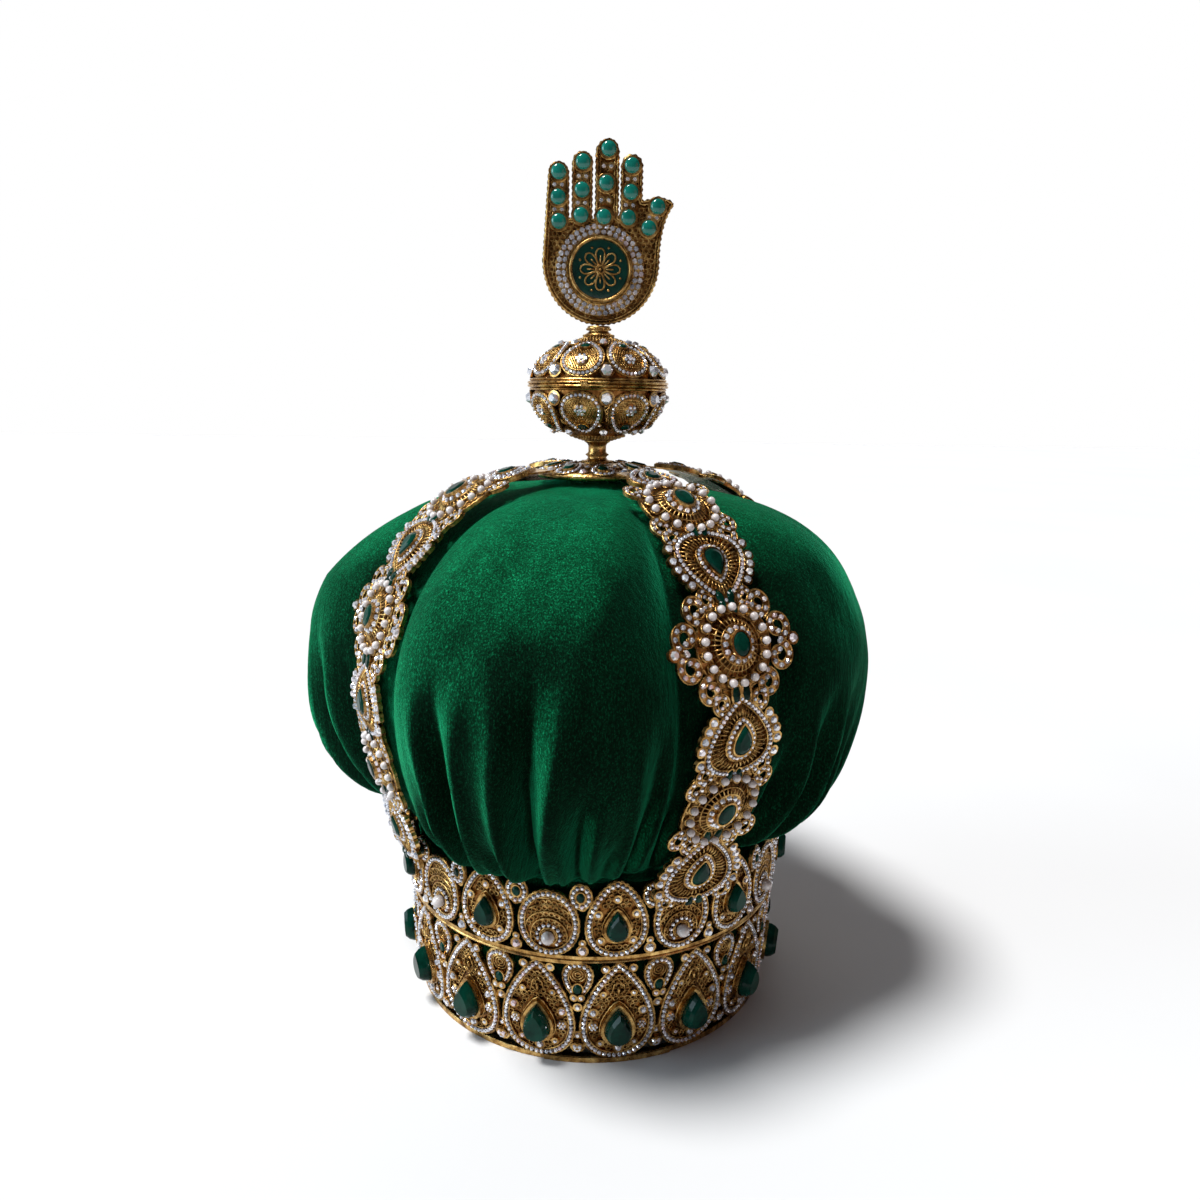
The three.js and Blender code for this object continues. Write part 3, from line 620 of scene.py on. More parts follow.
def wall_at(z):
    """Radius and lean of the circlet's wall at a height."""
    if z <= WALL["middle_z"]:
        start, end, low, high = WALL["foot"], WALL["middle"], 0, WALL["middle_z"]
    else:
        start, end, low, high = WALL["middle"] + WALL["step"], WALL["top"], WALL["middle_z"], WALL["top_z"]
    return start + (end - start) * (z - low) / (high - low), math.atan((end - start) / (high - low))


def wall_chart(azimuth, z, out=0.0):
    """A plane on the circlet's wall, or a little out of it."""
    radius, lean = wall_at(z)
    radius += out
    c, s = math.cos(azimuth * DEG), math.sin(azimuth * DEG)
    cl, sl = math.cos(lean), math.sin(lean)
    axes = np.array([(c, s, 0), (s * sl, -c * sl, cl), (s * cl, -c * cl, -sl)])
    origin = np.array((radius * s, -radius * c, z))
    return lambda spots: origin + spots @ axes


ARCH_FINE = 24
ARCH_PATH = spline([ARCH_FOOT, *[(r, z) for _, r, z in STATIONS], ARCH_END], ARCH_FINE)
ARCH_RUN = run_of(ARCH_PATH)


def path_at(path, run, at):
    """Point and unit direction of a path in radius and height."""
    slope = unit(np.gradient(path, run, axis=0))
    point = np.stack([np.interp(at, run, path[:, k]) for k in (0, 1)], -1)
    along = unit(np.stack([np.interp(at, run, slope[:, k]) for k in (0, 1)], -1))
    return point, along


def arch_lean(z):
    """Degrees that the first arch leans aside at a height."""
    return ARCH_LEAN["foot"] * (1 - smoothstep((z - ARCH_FOOT[1]) / (ARCH_LEAN["top_z"] - ARCH_FOOT[1])))


def arch_chart(azimuth, middle):
    leans = azimuth == ARCH["turn"]

    def chart(spots):
        point, along = path_at(ARCH_PATH, ARCH_RUN, middle + spots[:, 1])
        h = spots[:, 2] - ARCH["plate"] / 2
        r, z = point[:, 0] + h * along[:, 1], point[:, 1] - h * along[:, 0]
        return about_axis(r, (azimuth + leans * arch_lean(z)) * DEG, z, spots[:, 0])

    return chart


def orb_chart(azimuth, rows):
    """y runs from the seam to the pole."""
    path = spline(rows)
    run = run_of(path)
    side = 1 if rows[-1][1] > rows[0][1] else -1

    def chart(spots):
        point, along = path_at(path, run, spots[:, 1])
        h = spots[:, 2] - ORB["wall"]
        turn = azimuth * DEG + side * spots[:, 0] / point[:, 0]
        return about_axis(point[:, 0] + side * h * along[:, 1], turn, point[:, 1] - side * h * along[:, 0])

    return chart


def hand_chart(spots):
    out = spots[:, 2] - HAND["thick"] / 2
    return about_axis(out, HAND["turn"] * DEG, spots[:, 1] + HAND["lift"], spots[:, 0])


def crest_chart(azimuth):
    """y is minus the distance from the axis."""
    rows = np.array(CREST_ROWS[:1:-1])

    def chart(spots):
        r = -spots[:, 1]
        return about_axis(r, azimuth * DEG, np.interp(r, rows[:, 0], rows[:, 1]) + spots[:, 2], spots[:, 0])

    return chart


# Ornaments of the circlet

def lower_plaque():
    d = Design()
    field = d.border(pear(35.4, 51.6, full=0.25))
    free = d.seat(pear(*LOWER["stone"], 0, LOWER["stone_z"] - LOWER["z"]), 1.6, 4.6)
    for side in (-1, 1):
        for x, y, radius in ((11.4, 0.2, 1.8), (7, 9.6, 1), (7.8, -16.6, 1.2)):
            d.crystal(x * side, y, radius)
        d.flower(11 * side, -7.6, 1.5, 0.7)
        curl = ((0.9, 9.5, 2), (2.9, 11.2, 2.3), (2.2, 14, 2.3), (0.4, 16, 2))
        d.wire([(x * side, y, h) for x, y, h in curl], 0.5)
    d.crystal(0.6, -19.6, 1.9)
    d.wire([(0, 8.5, 2), (0, 11, 2.4), (0, 13, 2.2)], 0.8)
    d.lace(field, 2.6, 1.6, [free])
    return d


def lower_drop():
    d = Design()
    d.border(pear(14.6, 20.5, turn=180, full=0.25), stone=1.0, spacing=2.2, rope=0.45)
    d.gem(oval(4, 5.4, 0, -3.6, count=20), 3.2, 0.6, [(1, 1.2), (1, 2.9), (0.6, 3.9)], wall=0.6)
    for k, reach in enumerate((1.2, 2.4, 3.6)):
        d.flat_wire(disc(2 * reach, 0, 3.2), 0.35, 1.5 + 0.15 * k)
    return d


def upper_pear():
    d = Design()
    field = d.border(pear(29, 37.8, full=0.55))
    free = d.seat(pear(*UPPER["stone"], 0, UPPER["stone_z"] - UPPER["pear_z"]), 1.4, 3.9)
    for side in (-1, 1):
        d.crystal(8.4 * side, 3, 1.5)
        d.crystal(7.2 * side, -9.8, 1.4)
    d.crystal(0, 10.2, 1.4)
    d.lace(field, 2.6, 1.6, [free])
    return d


def upper_round():
    """A disc of arcs and small rings about a pearl near its foot."""
    d = Design()
    field = d.border(oval(28.2, 32.4, count=64))
    low = UPPER["pearl_z"] - UPPER["round_z"]
    d.pearl(0, low, 3.0)
    d.flat_wire(disc(8, 0, low), 0.5, 2.1)
    for angle in np.arange(-45, 226, 27) * DEG:
        d.stones.append((5.2 * math.cos(angle), low + 5.2 * math.sin(angle), 2.0, 0.95))
    for reach in (7.4, 10.4, 13.4, 16.2):
        spots = ring_spots(int(2 * np.pi * reach / 2.5), reach, 0, low)
        free = inside(field, spots) & (clearance(field, spots) > 0.9)
        d.rings += [(x, y, 1.5, 1.1, 0.36) for x, y in spots[free]]
        turn = np.linspace(-np.pi / 2, 3 * np.pi / 2, 60)
        arc = np.stack([1.12 * reach * np.cos(turn), low + 1.12 * reach * np.sin(turn)], 1)
        arc = arc[inside(field, arc)]
        if len(arc) > 5:
            d.wire(raised(arc, 1.6), 0.45)
    for side in (-1, 1):
        petal(d, 14.4 * side, UPPER["petal_z"] - UPPER["round_z"], -8 * side)
    return d


def petal(d, x, y, turn):
    """A small green stone ringed by crystals."""
    outline = oval(10.4, 12.6, x, y, turn, count=40)
    d.band(outline, oval(3, 4, x, y, turn, count=40), 0.4, 1.8)
    d.rope(inset(outline, 0.5), 0.5, 1.8)
    d.row(oval(7.3, 9.3, x, y, turn), 1.05, 2.3)
    d.gem(oval(3.6, 4.6, x, y, turn, count=20), 2.7, 1.0, [(1, 1.4), (1, 2.6), (0.6, 3.5)], wall=0.5)


# Ornaments of the arches

def arch_pear(turn):
    """A pear plaque with spokes round its stone, its point up, or down where it is turned over."""
    d = Design(ARCH_FACE)
    sign = 1 if turn == 0 else -1
    outline = pear(35.6, 35, 0, 0, turn, full=0.2)
    field = d.border(outline, stone=1.0, spacing=2.1)
    stone = pear(8.6, 12, 0, -0.8 * sign, turn, count=40)
    d.gem(stone, 4.4, 0.6, [(1, 1.5), (1, 4.2), (0.86, 5.0), (0.6, 5.6)], wall=0.7)
    d.row(inset(stone, -2.0), 0.95, 2.1, 2.9)
    d.band(inset(stone, -3.1), inset(stone, -0.9), 0.6, 2.8)
    d.rope(inset(stone, -3.3), 0.45, 2.7)
    free = inset(stone, -3.4)
    for (x0, y0), (x1, y1) in zip(resample(free, 38), resample(inset(outline, 3.4), 38)):
        d.wire([(x0, y0, 2.2), ((x0 + x1) / 2, (y0 + y1) / 2, 2.9), (x1, y1, 2.0)], 0.42)
    d.lace(field, 3.0, 1.5, [free])
    rail = inset(outline, -1.8)
    for k in range(5):
        for side in (-1, 1):
            middle = np.array((18.6 * side, (-9.0 + 4.8 * k) * sign))
            x, y = rail[np.linalg.norm(rail - middle, axis=1).argmin()]
            d.crystal(x, y, 1.85, h=2.2)
    for side in (-1, 1):
        scroll(d, 13.6 * side, -14.8 * sign, 4.5, side, -sign, 1.3)
        scroll(d, 9.4 * side, 14.8 * sign, 4.0, side, sign, 1.2)
    marquise_pair(d, -17.4 * sign)
    marquise_pair(d, 17.8 * sign)
    return d


def arch_leaf():
    d = Design(ARCH_FACE)
    field = d.border(pear(25, 25), spacing=2.5, rope=0.65, backed=False)
    stone = pear(6.6, 9.4, 0, -2, count=36)
    d.gem(stone, 4.0, 0.6, [(1, 1.5), (1, 3.6), (0.86, 4.3), (0.6, 4.8)], wall=0.7)
    d.row(inset(stone, -2.0), 0.95, 2.2, 2.8)
    d.lace(field, 2.4, 1.4, [inset(stone, -2.6)])
    return d


def rosette():
    """A domed disc: an oval stone, crystals, spokes, and pearls round its edge."""
    d = Design(ARCH_FACE)
    edge = disc(38, count=72)
    d.backing(edge)
    d.band(edge, disc(25, count=72), 0.3, 1.6)
    d.rope(inset(edge, 0.55), 0.55, 1.6)
    for x, y in ring_spots(17, 15.4):
        d.pearl(x, y, 1.8)
    for x, y in ring_spots(32, 1, shift=0.5):
        d.wire([(reach * x, reach * y, h) for reach, h in ((6.4, 5), (9.4, 3.6), (13.2, 1.7))], 0.4)
    for reach, h in ((8.2, 4.2), (10.6, 2.9), (13.2, 1.9)):
        d.flat_wire(disc(2 * reach), 0.45, h)
    d.mounds.append(("gold", disc(16.6, count=32), [(1, 3.4), (1, 4.3), (0.7, 4.9)]))
    d.row(disc(13), 1.45, 3.2, 4.6)
    d.gem(oval(8, 9.6, count=28), 6.9, 4.0, [(1, 4.4), (1, 6.6), (0.85, 7.3), (0.6, 7.6)], wall=0.8)
    return d


def plain_rosette():
    d = rosette()
    for end in (-1, 1):
        for side in (-1, 1):
            scroll(d, 16.2 * side, 12.8 * end, 4.6, side, end, 1.3)
    return d


def winged_rosette():
    d = rosette()
    for end in (-1, 1):
        marquise_pair(d, 19.6 * end)
    for side in (-1, 1):
        for x, y, reach in ((15.6, 16.2, 5.4), (23.2, 5.6, 5.8), (22.6, -6.8, 5.8), (14.2, -17, 5.2)):
            scroll(d, x * side, y, reach, side, 1 if y > 0 else -1, 1.6)
        d.crystal(30.2 * side, -0.6, 2.2)
    return d


def marquise_pair(d, y):
    for side in (-1, 1):
        outline = marquise(3.6, 7.2, 2.6 * side, y, -16 * side * np.sign(y))
        d.gem(outline, 2.9, 0.4, [(1, 1.0), (1, 2.7), (0.6, 3.6)], wall=0.6)


def scroll(d, x, y, reach, side, end, half):
    """A curled ribbon set with crystals, open towards the middle of the ornament."""
    count = 21
    sweep = np.linspace(-0.45, 1.55, count) * np.pi
    shrink = reach * np.linspace(1.0, 0.42, count)
    line = np.stack([x + side * shrink * np.cos(sweep), y + end * shrink * np.sin(sweep)], 1)
    along = unit(np.gradient(line, axis=0))
    across = np.stack([-along[:, 1], along[:, 0]], 1)
    for shift in (-half, half):
        d.wire(raised(line + across * shift, 2.1), 0.48)
    d.ribbons.append((line + across * half, line - across * half, 0.4, 1.9))
    for px, py in resample(line, max(6, int(run_of(line)[-1] / (1.9 * half))), closed=False):
        d.stones.append((px, py, 1.9, 0.84 * half))


# Ornaments of the orb and the hand

def orb_petal():
    d = Design(ORB_FACE)
    outline = pear(21.5, 26.5, 0, 14.6)
    d.band(outline, inset(outline, 4.0), 0.0, 1.3)
    d.mounds.append(("gold", inset(outline, 3.6), [(1, 0.2), (1, 1.0), (0.02, 1.2)]))
    d.rope(inset(outline, 0.45), 0.45, 1.4)
    d.row(inset(outline, 1.8), 0.95, 2.1, 1.4)
    d.flat_wire(inset(outline, 3.1), 0.4, 1.4)
    d.flower(0, 10.4, 2.0, 0.95)
    d.gem(oval(4.4, 3.3, 0, 19.2, count=20), 2.6, 0.6, [(1, 1.0), (1, 2.3), (0.6, 3.0)], wall=0.5)
    d.kept.append((0, 19.2, 2.7))
    rows, columns = np.arange(1, 28, 1.05), np.arange(-11, 11, 1.2)
    spots = np.array([(x + 0.6 * (k % 2), y) for k, y in enumerate(rows) for x in columns])
    free = inside(inset(outline, 3.8), spots)
    for x, y, reach in d.kept:
        free &= np.hypot(spots[:, 0] - x, spots[:, 1] - y) > reach
    d.grains += [(x, y, 1.25, 0.5) for x, y in spots[free]]
    return d


def hand_outline():
    points = []
    for order, (x, tip, half) in enumerate(FINGERS):
        if order:
            points.append((x - half, HAND["root"]))
        for angle in np.linspace(np.pi, 0, 24):
            points.append((x + half * math.cos(angle), tip - half + half * math.sin(angle)))
        points.append((x + half, THUMB["root"] if order == len(FINGERS) - 1 else HAND["root"]))

    def bend(control, end):
        start, control, end = (np.array(point) for point in (points[-1], control, end))
        for t in np.linspace(0, 1, 16)[1:]:
            points.append(tuple((1 - t) ** 2 * start + 2 * t * (1 - t) * control + t * t * end))

    bend(THUMB["top"], THUMB["tip"])
    bend(THUMB["neck"], (PALM["x"] + PALM["half"], PALM["z"]))
    for angle in np.linspace(0, -np.pi, 60)[1:]:
        x, z = PALM["half"] * math.cos(angle), PALM["depth"] * math.sin(angle)
        points.append((PALM["x"] + x, PALM["z"] + z))
    return resample(np.array(points)[::-1], 440)


def hand_design():
    d = Design(HAND["thick"])
    outline = hand_outline()
    middle = MEDALLION["middle"]
    d.band(inset(outline, 0.5), resample(inset(outline, 1.6), len(outline)), 0.7, 3.7)
    for edge_h, inner_h in ((0.6, 0.7), (3.8, 3.7)):
        d.rope(inset(outline, 0.9), 0.9, edge_h)
        d.rope(inset(outline, 2.2), 0.65, inner_h, 2.4)
    for x, z in CABOCHONS:
        d.band(disc(8.4, x, z, count=28), disc(6.6, x, z, count=28), 2.6, 5.4)
        d.rope(disc(8.7, x, z), 0.42, 4.2, 2.1)
        d.kept.append((x, z, 4.3))
    d.band(disc(41, *middle, count=90), disc(20, *middle, count=90), 2.0, 4.0)
    for reach, count in ((16.9, 36), (19.5, 42)):
        d.stones += [(x, y, 4.1, 1.4) for x, y in ring_spots(count, reach, *middle, shift=0.5)]
    for (x, z), (below_x, below_z) in zip(CABOCHONS, CABOCHONS[1:]):
        if z > below_z:
            for side in (-1, 1):
                d.crystal((x + below_x) / 2 + 1.7 * side, (z + below_z) / 2, 1.2, h=4.1)
    d.rope(disc(41.2, *middle), 0.55, 4.0)
    d.kept.append((*middle, 20.6))
    d.rope(disc(2 * MEDALLION["radius"] + 1.4, *middle), 0.5, 4.3)
    d.lace(inset(outline, 2.3), 2.6, 3.4, margin=0.0)
    # The same rings again on the back
    d.rings += [(x, y, 0.9, radius, wire) for x, y, _, radius, wire in d.rings]
    d.backing(outline, 1.4, 1.7, 2.5)
    return d


# Materials

def plug(tree, value, socket):
    """Links another node's output to a socket, or sets a value."""
    if isinstance(value, bpy.types.NodeSocket):
        tree.links.new(value, socket)
    else:
        socket.default_value = value


def node(tree, kind, inputs=None, **settings):
    """A new node with its settings, and its inputs by name or number."""
    made = tree.nodes.new(kind)
    for key, value in settings.items():
        setattr(made, key, value)
    for key, value in (inputs or {}).items():
        plug(tree, value, made.inputs[key])
    return made


def new_material(name):
    material = bpy.data.materials.new(name)
    material.use_nodes = True
    return material, material.node_tree


def dressed(material, inputs):
    """Sets the inputs of a material's shader."""
    tree = material.node_tree
    for key, value in inputs.items():
        plug(tree, value, tree.nodes["Principled BSDF"].inputs[key])
    return material


def noise(tree, scale, detail=3, rough=0.55, stretch=None):
    coords = node(tree, "ShaderNodeTexCoord").outputs["Object"]
    if stretch:
        coords = node(tree, "ShaderNodeMapping", {"Vector": coords, "Scale": stretch}).outputs["Vector"]
    inputs = {"Vector": coords, "Scale": scale, "Detail": detail, "Roughness": rough}
    return node(tree, "ShaderNodeTexNoise", inputs).outputs["Fac"]


def ramp(tree, factor, stops):
    made = node(tree, "ShaderNodeValToRGB", {"Fac": factor})
    elements = made.color_ramp.elements
    while len(elements) < len(stops):
        elements.new(0.5)
    for element, (place, colour) in zip(elements, stops):
        element.position = place
        element.color = (*colour, 1)
    return made.outputs["Color"]


def grey(tree, factor, low, high, start=0.3, end=0.7):
    return ramp(tree, factor, [(start, (low, low, low)), (end, (high, high, high))])


def mixed(tree, factor, first, second, kind="MIX"):
    inputs = {0: factor, 6: first, 7: second}
    return node(tree, "ShaderNodeMix", inputs, data_type="RGBA", blend_type=kind).outputs[2]


def bump(tree, height, strength, distance):
    inputs = {"Height": height, "Strength": strength, "Distance": distance}
    return node(tree, "ShaderNodeBump", inputs).outputs["Normal"]


def dot(tree, vector, direction):
    inputs = {0: vector, 1: direction}
    return node(tree, "ShaderNodeVectorMath", inputs, operation="DOT_PRODUCT").outputs["Value"]


def turned_to(tree, vector, direction, start, end, low=0.0, high=1.0):
    """How far a vector turns to a direction: low where their product is start, high where it is end."""
    inputs = {"Value": dot(tree, vector, direction)}
    inputs |= {"From Min": start, "From Max": end, "To Min": low, "To Max": high}
    return node(tree, "ShaderNodeMapRange", inputs).outputs["Result"]


# Painted light and shade on the velvet, brighter where it faces the key and side lamps: direction of a lamp,
# start and end of the turn to it, brightness away from it and there
VELVET_PAINTED_LIGHT = [
    ((-0.28, -0.10, 0.95), 0.54, 0.92, 0.20, 1.56),
    ((-0.95, -0.25, 0.20), 0.52, 0.98, 0.20, 1.25),
]
# Colours of the upright and of the brushed pile from its roots to its tips
VELVET_DEEP = [(0.38, (0.0003, 0.010, 0.0034)), (0.55, (0.0004, 0.032, 0.0110)), (0.72, (0.003, 0.17, 0.063))]
VELVET_WORN = [(0.38, (0.0006, 0.022, 0.0075)), (0.55, (0.0008, 0.082, 0.0285)), (0.72, (0.010, 0.37, 0.145))]
CRYSTAL_LOTS = [
    (0, (0.40, 0.42, 0.48)), (0.3, (0.84, 0.85, 0.90)), (0.55, (0.56, 0.55, 0.60)), (0.8, (1, 0.99, 1)),
    (1, (0.72, 0.58, 0.62)),
]
PEARL_CLOUD = [(0.35, (0.48, 0.42, 0.40)), (0.62, (0.70, 0.65, 0.63))]


def velvet_material():
    material, tree = new_material("velvet")
    pile = noise(tree, 1500, 3, 0.75, (1, 1, 0.55))
    brushed = noise(tree, 330, 4, 0.6, (1, 1, 0.16))
    patch = noise(tree, 20, 4, 0.6)
    streak = noise(tree, 75, 5, 0.65, (1, 1, 0.24))
    deep, worn = (ramp(tree, pile, stops) for stops in (VELVET_DEEP, VELVET_WORN))
    nap = mixed(tree, 0.4, grey(tree, patch, 0, 1, 0.38, 0.62), grey(tree, brushed, 0, 1, 0.38, 0.62))
    nap = mixed(tree, 0.45, nap, grey(tree, streak, 0, 1, 0.40, 0.62))
    normal = node(tree, "ShaderNodeNewGeometry").outputs["Normal"]
    # The pile's colour is multiplied by painted light and shade: brighter where the surface faces the key or
    # side lamp, darker where it turns away
    sides = {order: turned_to(tree, normal, *row) for order, row in enumerate(VELVET_PAINTED_LIGHT)}
    painted_light = node(tree, "ShaderNodeMath", sides, operation="MAXIMUM").outputs["Value"]
    return dressed(material, {
        "Base Color": mixed(tree, 1, mixed(tree, nap, deep, worn), painted_light, "MULTIPLY"), "Roughness": 0.85,
        "Specular IOR Level": 0.03, "Sheen Weight": 0.7, "Sheen Roughness": 0.3,
        "Sheen Tint": (0.02, 0.55, 0.24, 1),
        "Normal": bump(tree, mixed(tree, 0.35, brushed, pile), 0.6, 0.0022)})


def gold_material(name, dark, middle, bright):
    material, tree = new_material(name)
    stain = ramp(tree, noise(tree, 210, 5, 0.65), [(0.34, dark), (0.5, middle), (0.66, bright)])
    return dressed(material, {
        "Base Color": stain, "Metallic": 1, "Roughness": grey(tree, noise(tree, 600), 0.2, 0.42),
        "Normal": bump(tree, noise(tree, 2400, 2), 0.25, 0.0002)})


def crystal_material():
    material, tree = new_material("rhinestone")
    lot = node(tree, "ShaderNodeNewGeometry").outputs["Random Per Island"]
    return dressed(material, {
        "Base Color": ramp(tree, lot, CRYSTAL_LOTS), "Metallic": 0.6, "Specular IOR Level": 0.8,
        "Coat Weight": 0.6, "Coat Roughness": 0.03, "Roughness": grey(tree, noise(tree, 900), 0.05, 0.14)})


def pearl_material():
    material, tree = new_material("pearl")
    cloud = noise(tree, 300)
    return dressed(material, {
        "Base Color": ramp(tree, cloud, PEARL_CLOUD), "Roughness": grey(tree, cloud, 0.18, 0.3),
        "Coat Weight": 0.7, "Coat Roughness": 0.12})


def stone_material(name, dark, bright, scale, rough, gloss):
    material, tree = new_material(name)
    cloud = ramp(tree, noise(tree, scale, 4, 0.6), [(0.36, dark), (0.66, bright)])
    return dressed(material, {
        "Base Color": cloud, "Roughness": grey(tree, noise(tree, 1500), rough, rough + 0.08), "IOR": 1.5,
        "Specular IOR Level": gloss})


VELVET = velvet_material()
GOLD = gold_material("antique_gold", (0.12, 0.056, 0.015), (0.41, 0.23, 0.07), (0.76, 0.51, 0.19))
# Darker gold for the plates behind the openwork and the shells inside the orb: painted shade of the recesses
# on real plates
PAINTED_SHADE_GOLD = gold_material("gold_painted_shade", (0.055, 0.019, 0.005), (0.19, 0.078, 0.019), (0.40, 0.19, 0.055))
CRYSTALS = crystal_material()
PEARLS = pearl_material()
EMERALD = stone_material("emerald", (0.0005, 0.011, 0.007), (0.0016, 0.044, 0.027), 90, 0.05, 0.11)
TURQUOISE = stone_material("turquoise", (0, 0.11, 0.08), (0.003, 0.18, 0.135), 160, 0.1, 0.6)
ENAMEL = stone_material("enamel", (0.0006, 0.022, 0.014), (0.0015, 0.04, 0.026), 120, 0.12, 0.5)


def pieces_of(heaps, name, *nodes):
    """One piece for each material of a sub-assembly; the gold one stands for the nodes."""
    heaps["gold"].piece(name + "_gold", GOLD, "gold", *nodes)
    others = [("shaded_ground", PAINTED_SHADE_GOLD, "gold"), ("crystal", CRYSTALS, "rhinestone"), ("pearl", PEARLS, "pearl"),
              ("emerald", EMERALD, "emerald")]
    for kind, material, slot in others:
        if heaps[kind].total:
            heaps[kind].piece(f"{name}_{kind}", material, slot)


# Velvet

def lobe_share(from_arch):
    """0 in the trough under an arch, 1 at the middle of a lobe."""
    half = 180 / ARCH["count"]
    nearest = half - np.abs(half - from_arch)
    inward = np.clip((nearest - CAP["trough"]) / (half - CAP["trough"]), 0, 1)
    return 1 - (1 - inward) ** CAP["puff"]


def furrow_depth(from_arch, lobe, z):
    """Depth of all gathers at a height."""
    depth = np.zeros_like(from_arch)
    climb = min(max((z - CAP["full"]) / FURROW["rise"], 0), FURROW["most"])
    for number, (its_lobe, angle, width, deep, reach, lean) in enumerate(FURROWS):
        centre = angle + lean * climb + FURROW["wander"] * math.sin(z * FURROW["pace"] + number)
        fade = smoothstep((reach - z) / (reach - CAP["full"]) * FURROW["fade"])
        away = np.abs(from_arch - centre) / (width * (FURROW["width"] + FURROW["spread"] * climb))
        lip = FURROW["lip"] * np.exp(-((away - FURROW["lip_at"]) / FURROW["lip_width"]) ** 2)
        fold = FURROW["depth"] * np.exp(-away ** FURROW["power"]) - lip
        depth += np.where(lobe == its_lobe, deep * fade * fold, 0)
    return depth


def cap_radius(azimuth, z, valley, full):
    """Radius of the cap round one height, and how far it sags there."""
    from_first, turn = azimuth - ARCH["turn"], azimuth * DEG
    from_arch, lobe = from_first % 90, (np.floor(from_first / 90) % 4).astype(int)
    share = lobe_share(from_arch)
    swell = np.array([np.interp(z, LOBE_HEIGHTS, fullness) for fullness, _ in LOBES])[lobe]
    start = smoothstep((z - CAP["gather"]) / (CAP["full"] - CAP["gather"]))
    ripple = sum(size * np.sin(waves * turn + rise * z + phase) for waves, rise, size, phase in RIPPLES)
    pleats = np.sin(PLEATS["count"] * turn + PLEATS["swing"] * np.sin(PLEATS["swings"] * turn))
    pleats *= PLEATS["size"] * (1 - smoothstep((z - PLEATS["top"]) / PLEATS["fade"]))
    radius = valley + (full * swell - valley) * share - start * furrow_depth(from_arch, lobe, z)
    sag = share * np.array([fall for _, fall in LOBES])[lobe]
    return radius + (ripple + pleats) * start * share, sag


def velvet_cap():
    rows = resample(spline(CAP_SECTIONS, 12), CAP["rows"], closed=False)
    azimuth = np.arange(CAP["columns"]) / CAP["columns"] * 360
    from_first = np.abs((azimuth - ARCH["turn"] + 180) % 360 - 180)
    leaning = np.clip(1 - from_first / 90, 0, 1)
    rings = []
    for inward, order in ((CAP["wall"], slice(None, None, -2)), (0, slice(None))):
        for z, valley, full, sag_share in rows[order]:
            radius, sag = cap_radius(azimuth, z, valley, full)
            turn = (azimuth + leaning * arch_lean(z)) * DEG
            drop = inward * smoothstep((z - CAP_DOME) / CAP_DOME) + sag * sag_share
            rings.append(about_axis(radius - inward, turn, z - drop))
        if inward:
            rings += [about_axis(radius, turn, z) for radius, z in CAP_HEM]
    heap = Heap()
    loft(heap, rings)
    piece = heap.piece("velvet_dome", VELVET, "velvet", "velvet_cap")


def headband():
    heights = np.linspace(HEADBAND["bottom"], HEADBAND["top"], HEADBAND["rows"])
    face = [(wall_at(min(z, WALL["middle_z"]))[0] - HEADBAND["clearance"], z) for z in heights]
    section = face + [(radius - HEADBAND["thick"], z) for radius, z in face[::-1]]
    waves, rise, size, inward = HEADBAND_WAVES
    turn = turns(HEADBAND["columns"])
    heap = Heap()
    loft(heap, [about_axis(radius + size * np.sin(waves * turn + rise * z) - inward, turn, z)
                for radius, z in [*section, section[0]]], ends=False)
    piece = heap.piece("headband_velvet", VELVET, "velvet", "headband")


# Sub-assemblies

def azimuths(ring):
    """Where the repeats of a ring stand."""
    return [ring["turn"] + k * 360 / ring["count"] for k in range(ring["count"])]


def lap(heap, wall, row):
    """A second strip over a rim where its ends lap."""
    out, z, across, up, first, last = row
    turn = np.linspace(first, last, 60) * DEG
    corners = [(across, up), (-across, up), (-across, -up), (across, -up)]
    edges = [about_axis(wall + out + a, turn, z + b) for a, b in corners]
    loft(heap, list(np.stack(edges, 1)), smooth=False)


def flat_rim(heap, wall, rim):
    hoop(heap, box_section(wall + rim["inner"], wall + rim["outer"], rim["low"], rim["high"]), smooth=False)


def granules(heap, radius, z, size, pitch):
    """A ring of grains about the axis."""
    spots = circle(radius, z, int(2 * np.pi * radius / pitch))
    scatter(heap, GRAIN, axis_chart, spots, np.full((len(spots), 3), size))


def lower_circlet():
    heaps = new_heaps()
    gold = heaps["gold"]
    foot, middle = wall_at(0)[0], wall_at(MIDDLE_RIM["wall_z"])[0]
    hoop(gold, [(foot + out, z) for out, z in RIM], smooth=False)
    lap(gold, foot, RIM_LAP)
    flat_rim(gold, middle, MIDDLE_RIM)
    hoop(gold, round_section(middle + MIDDLE_RIM["bead"], WALL["middle_z"], 0.95, 1.0))
    lap(gold, middle, MIDDLE_LAP)
    plaque, drop = lower_plaque(), lower_drop()
    beside = crystals([(6.2, 22.8, 1.5), (17.2, -17.6, 1.3), (17, 8.6, 1.2)], sides=(-1, 1))
    heights = [(8.6, 2.9), (14.6, 1.5), (29.6, 1.6)]
    between = crystals([(0, z - LOWER["drop_z"], radius) for z, radius in heights], h=2.0)
    for azimuth in azimuths(LOWER):
        here = wall_chart(azimuth, LOWER["z"])
        gap = wall_chart(azimuth + 180 / LOWER["count"], LOWER["drop_z"])
        for design, chart in ((plaque, here), (beside, here), (drop, gap), (between, gap)):
            lay(design, chart, heaps)
    pieces_of(heaps, "lower_tier", "lower_circlet")


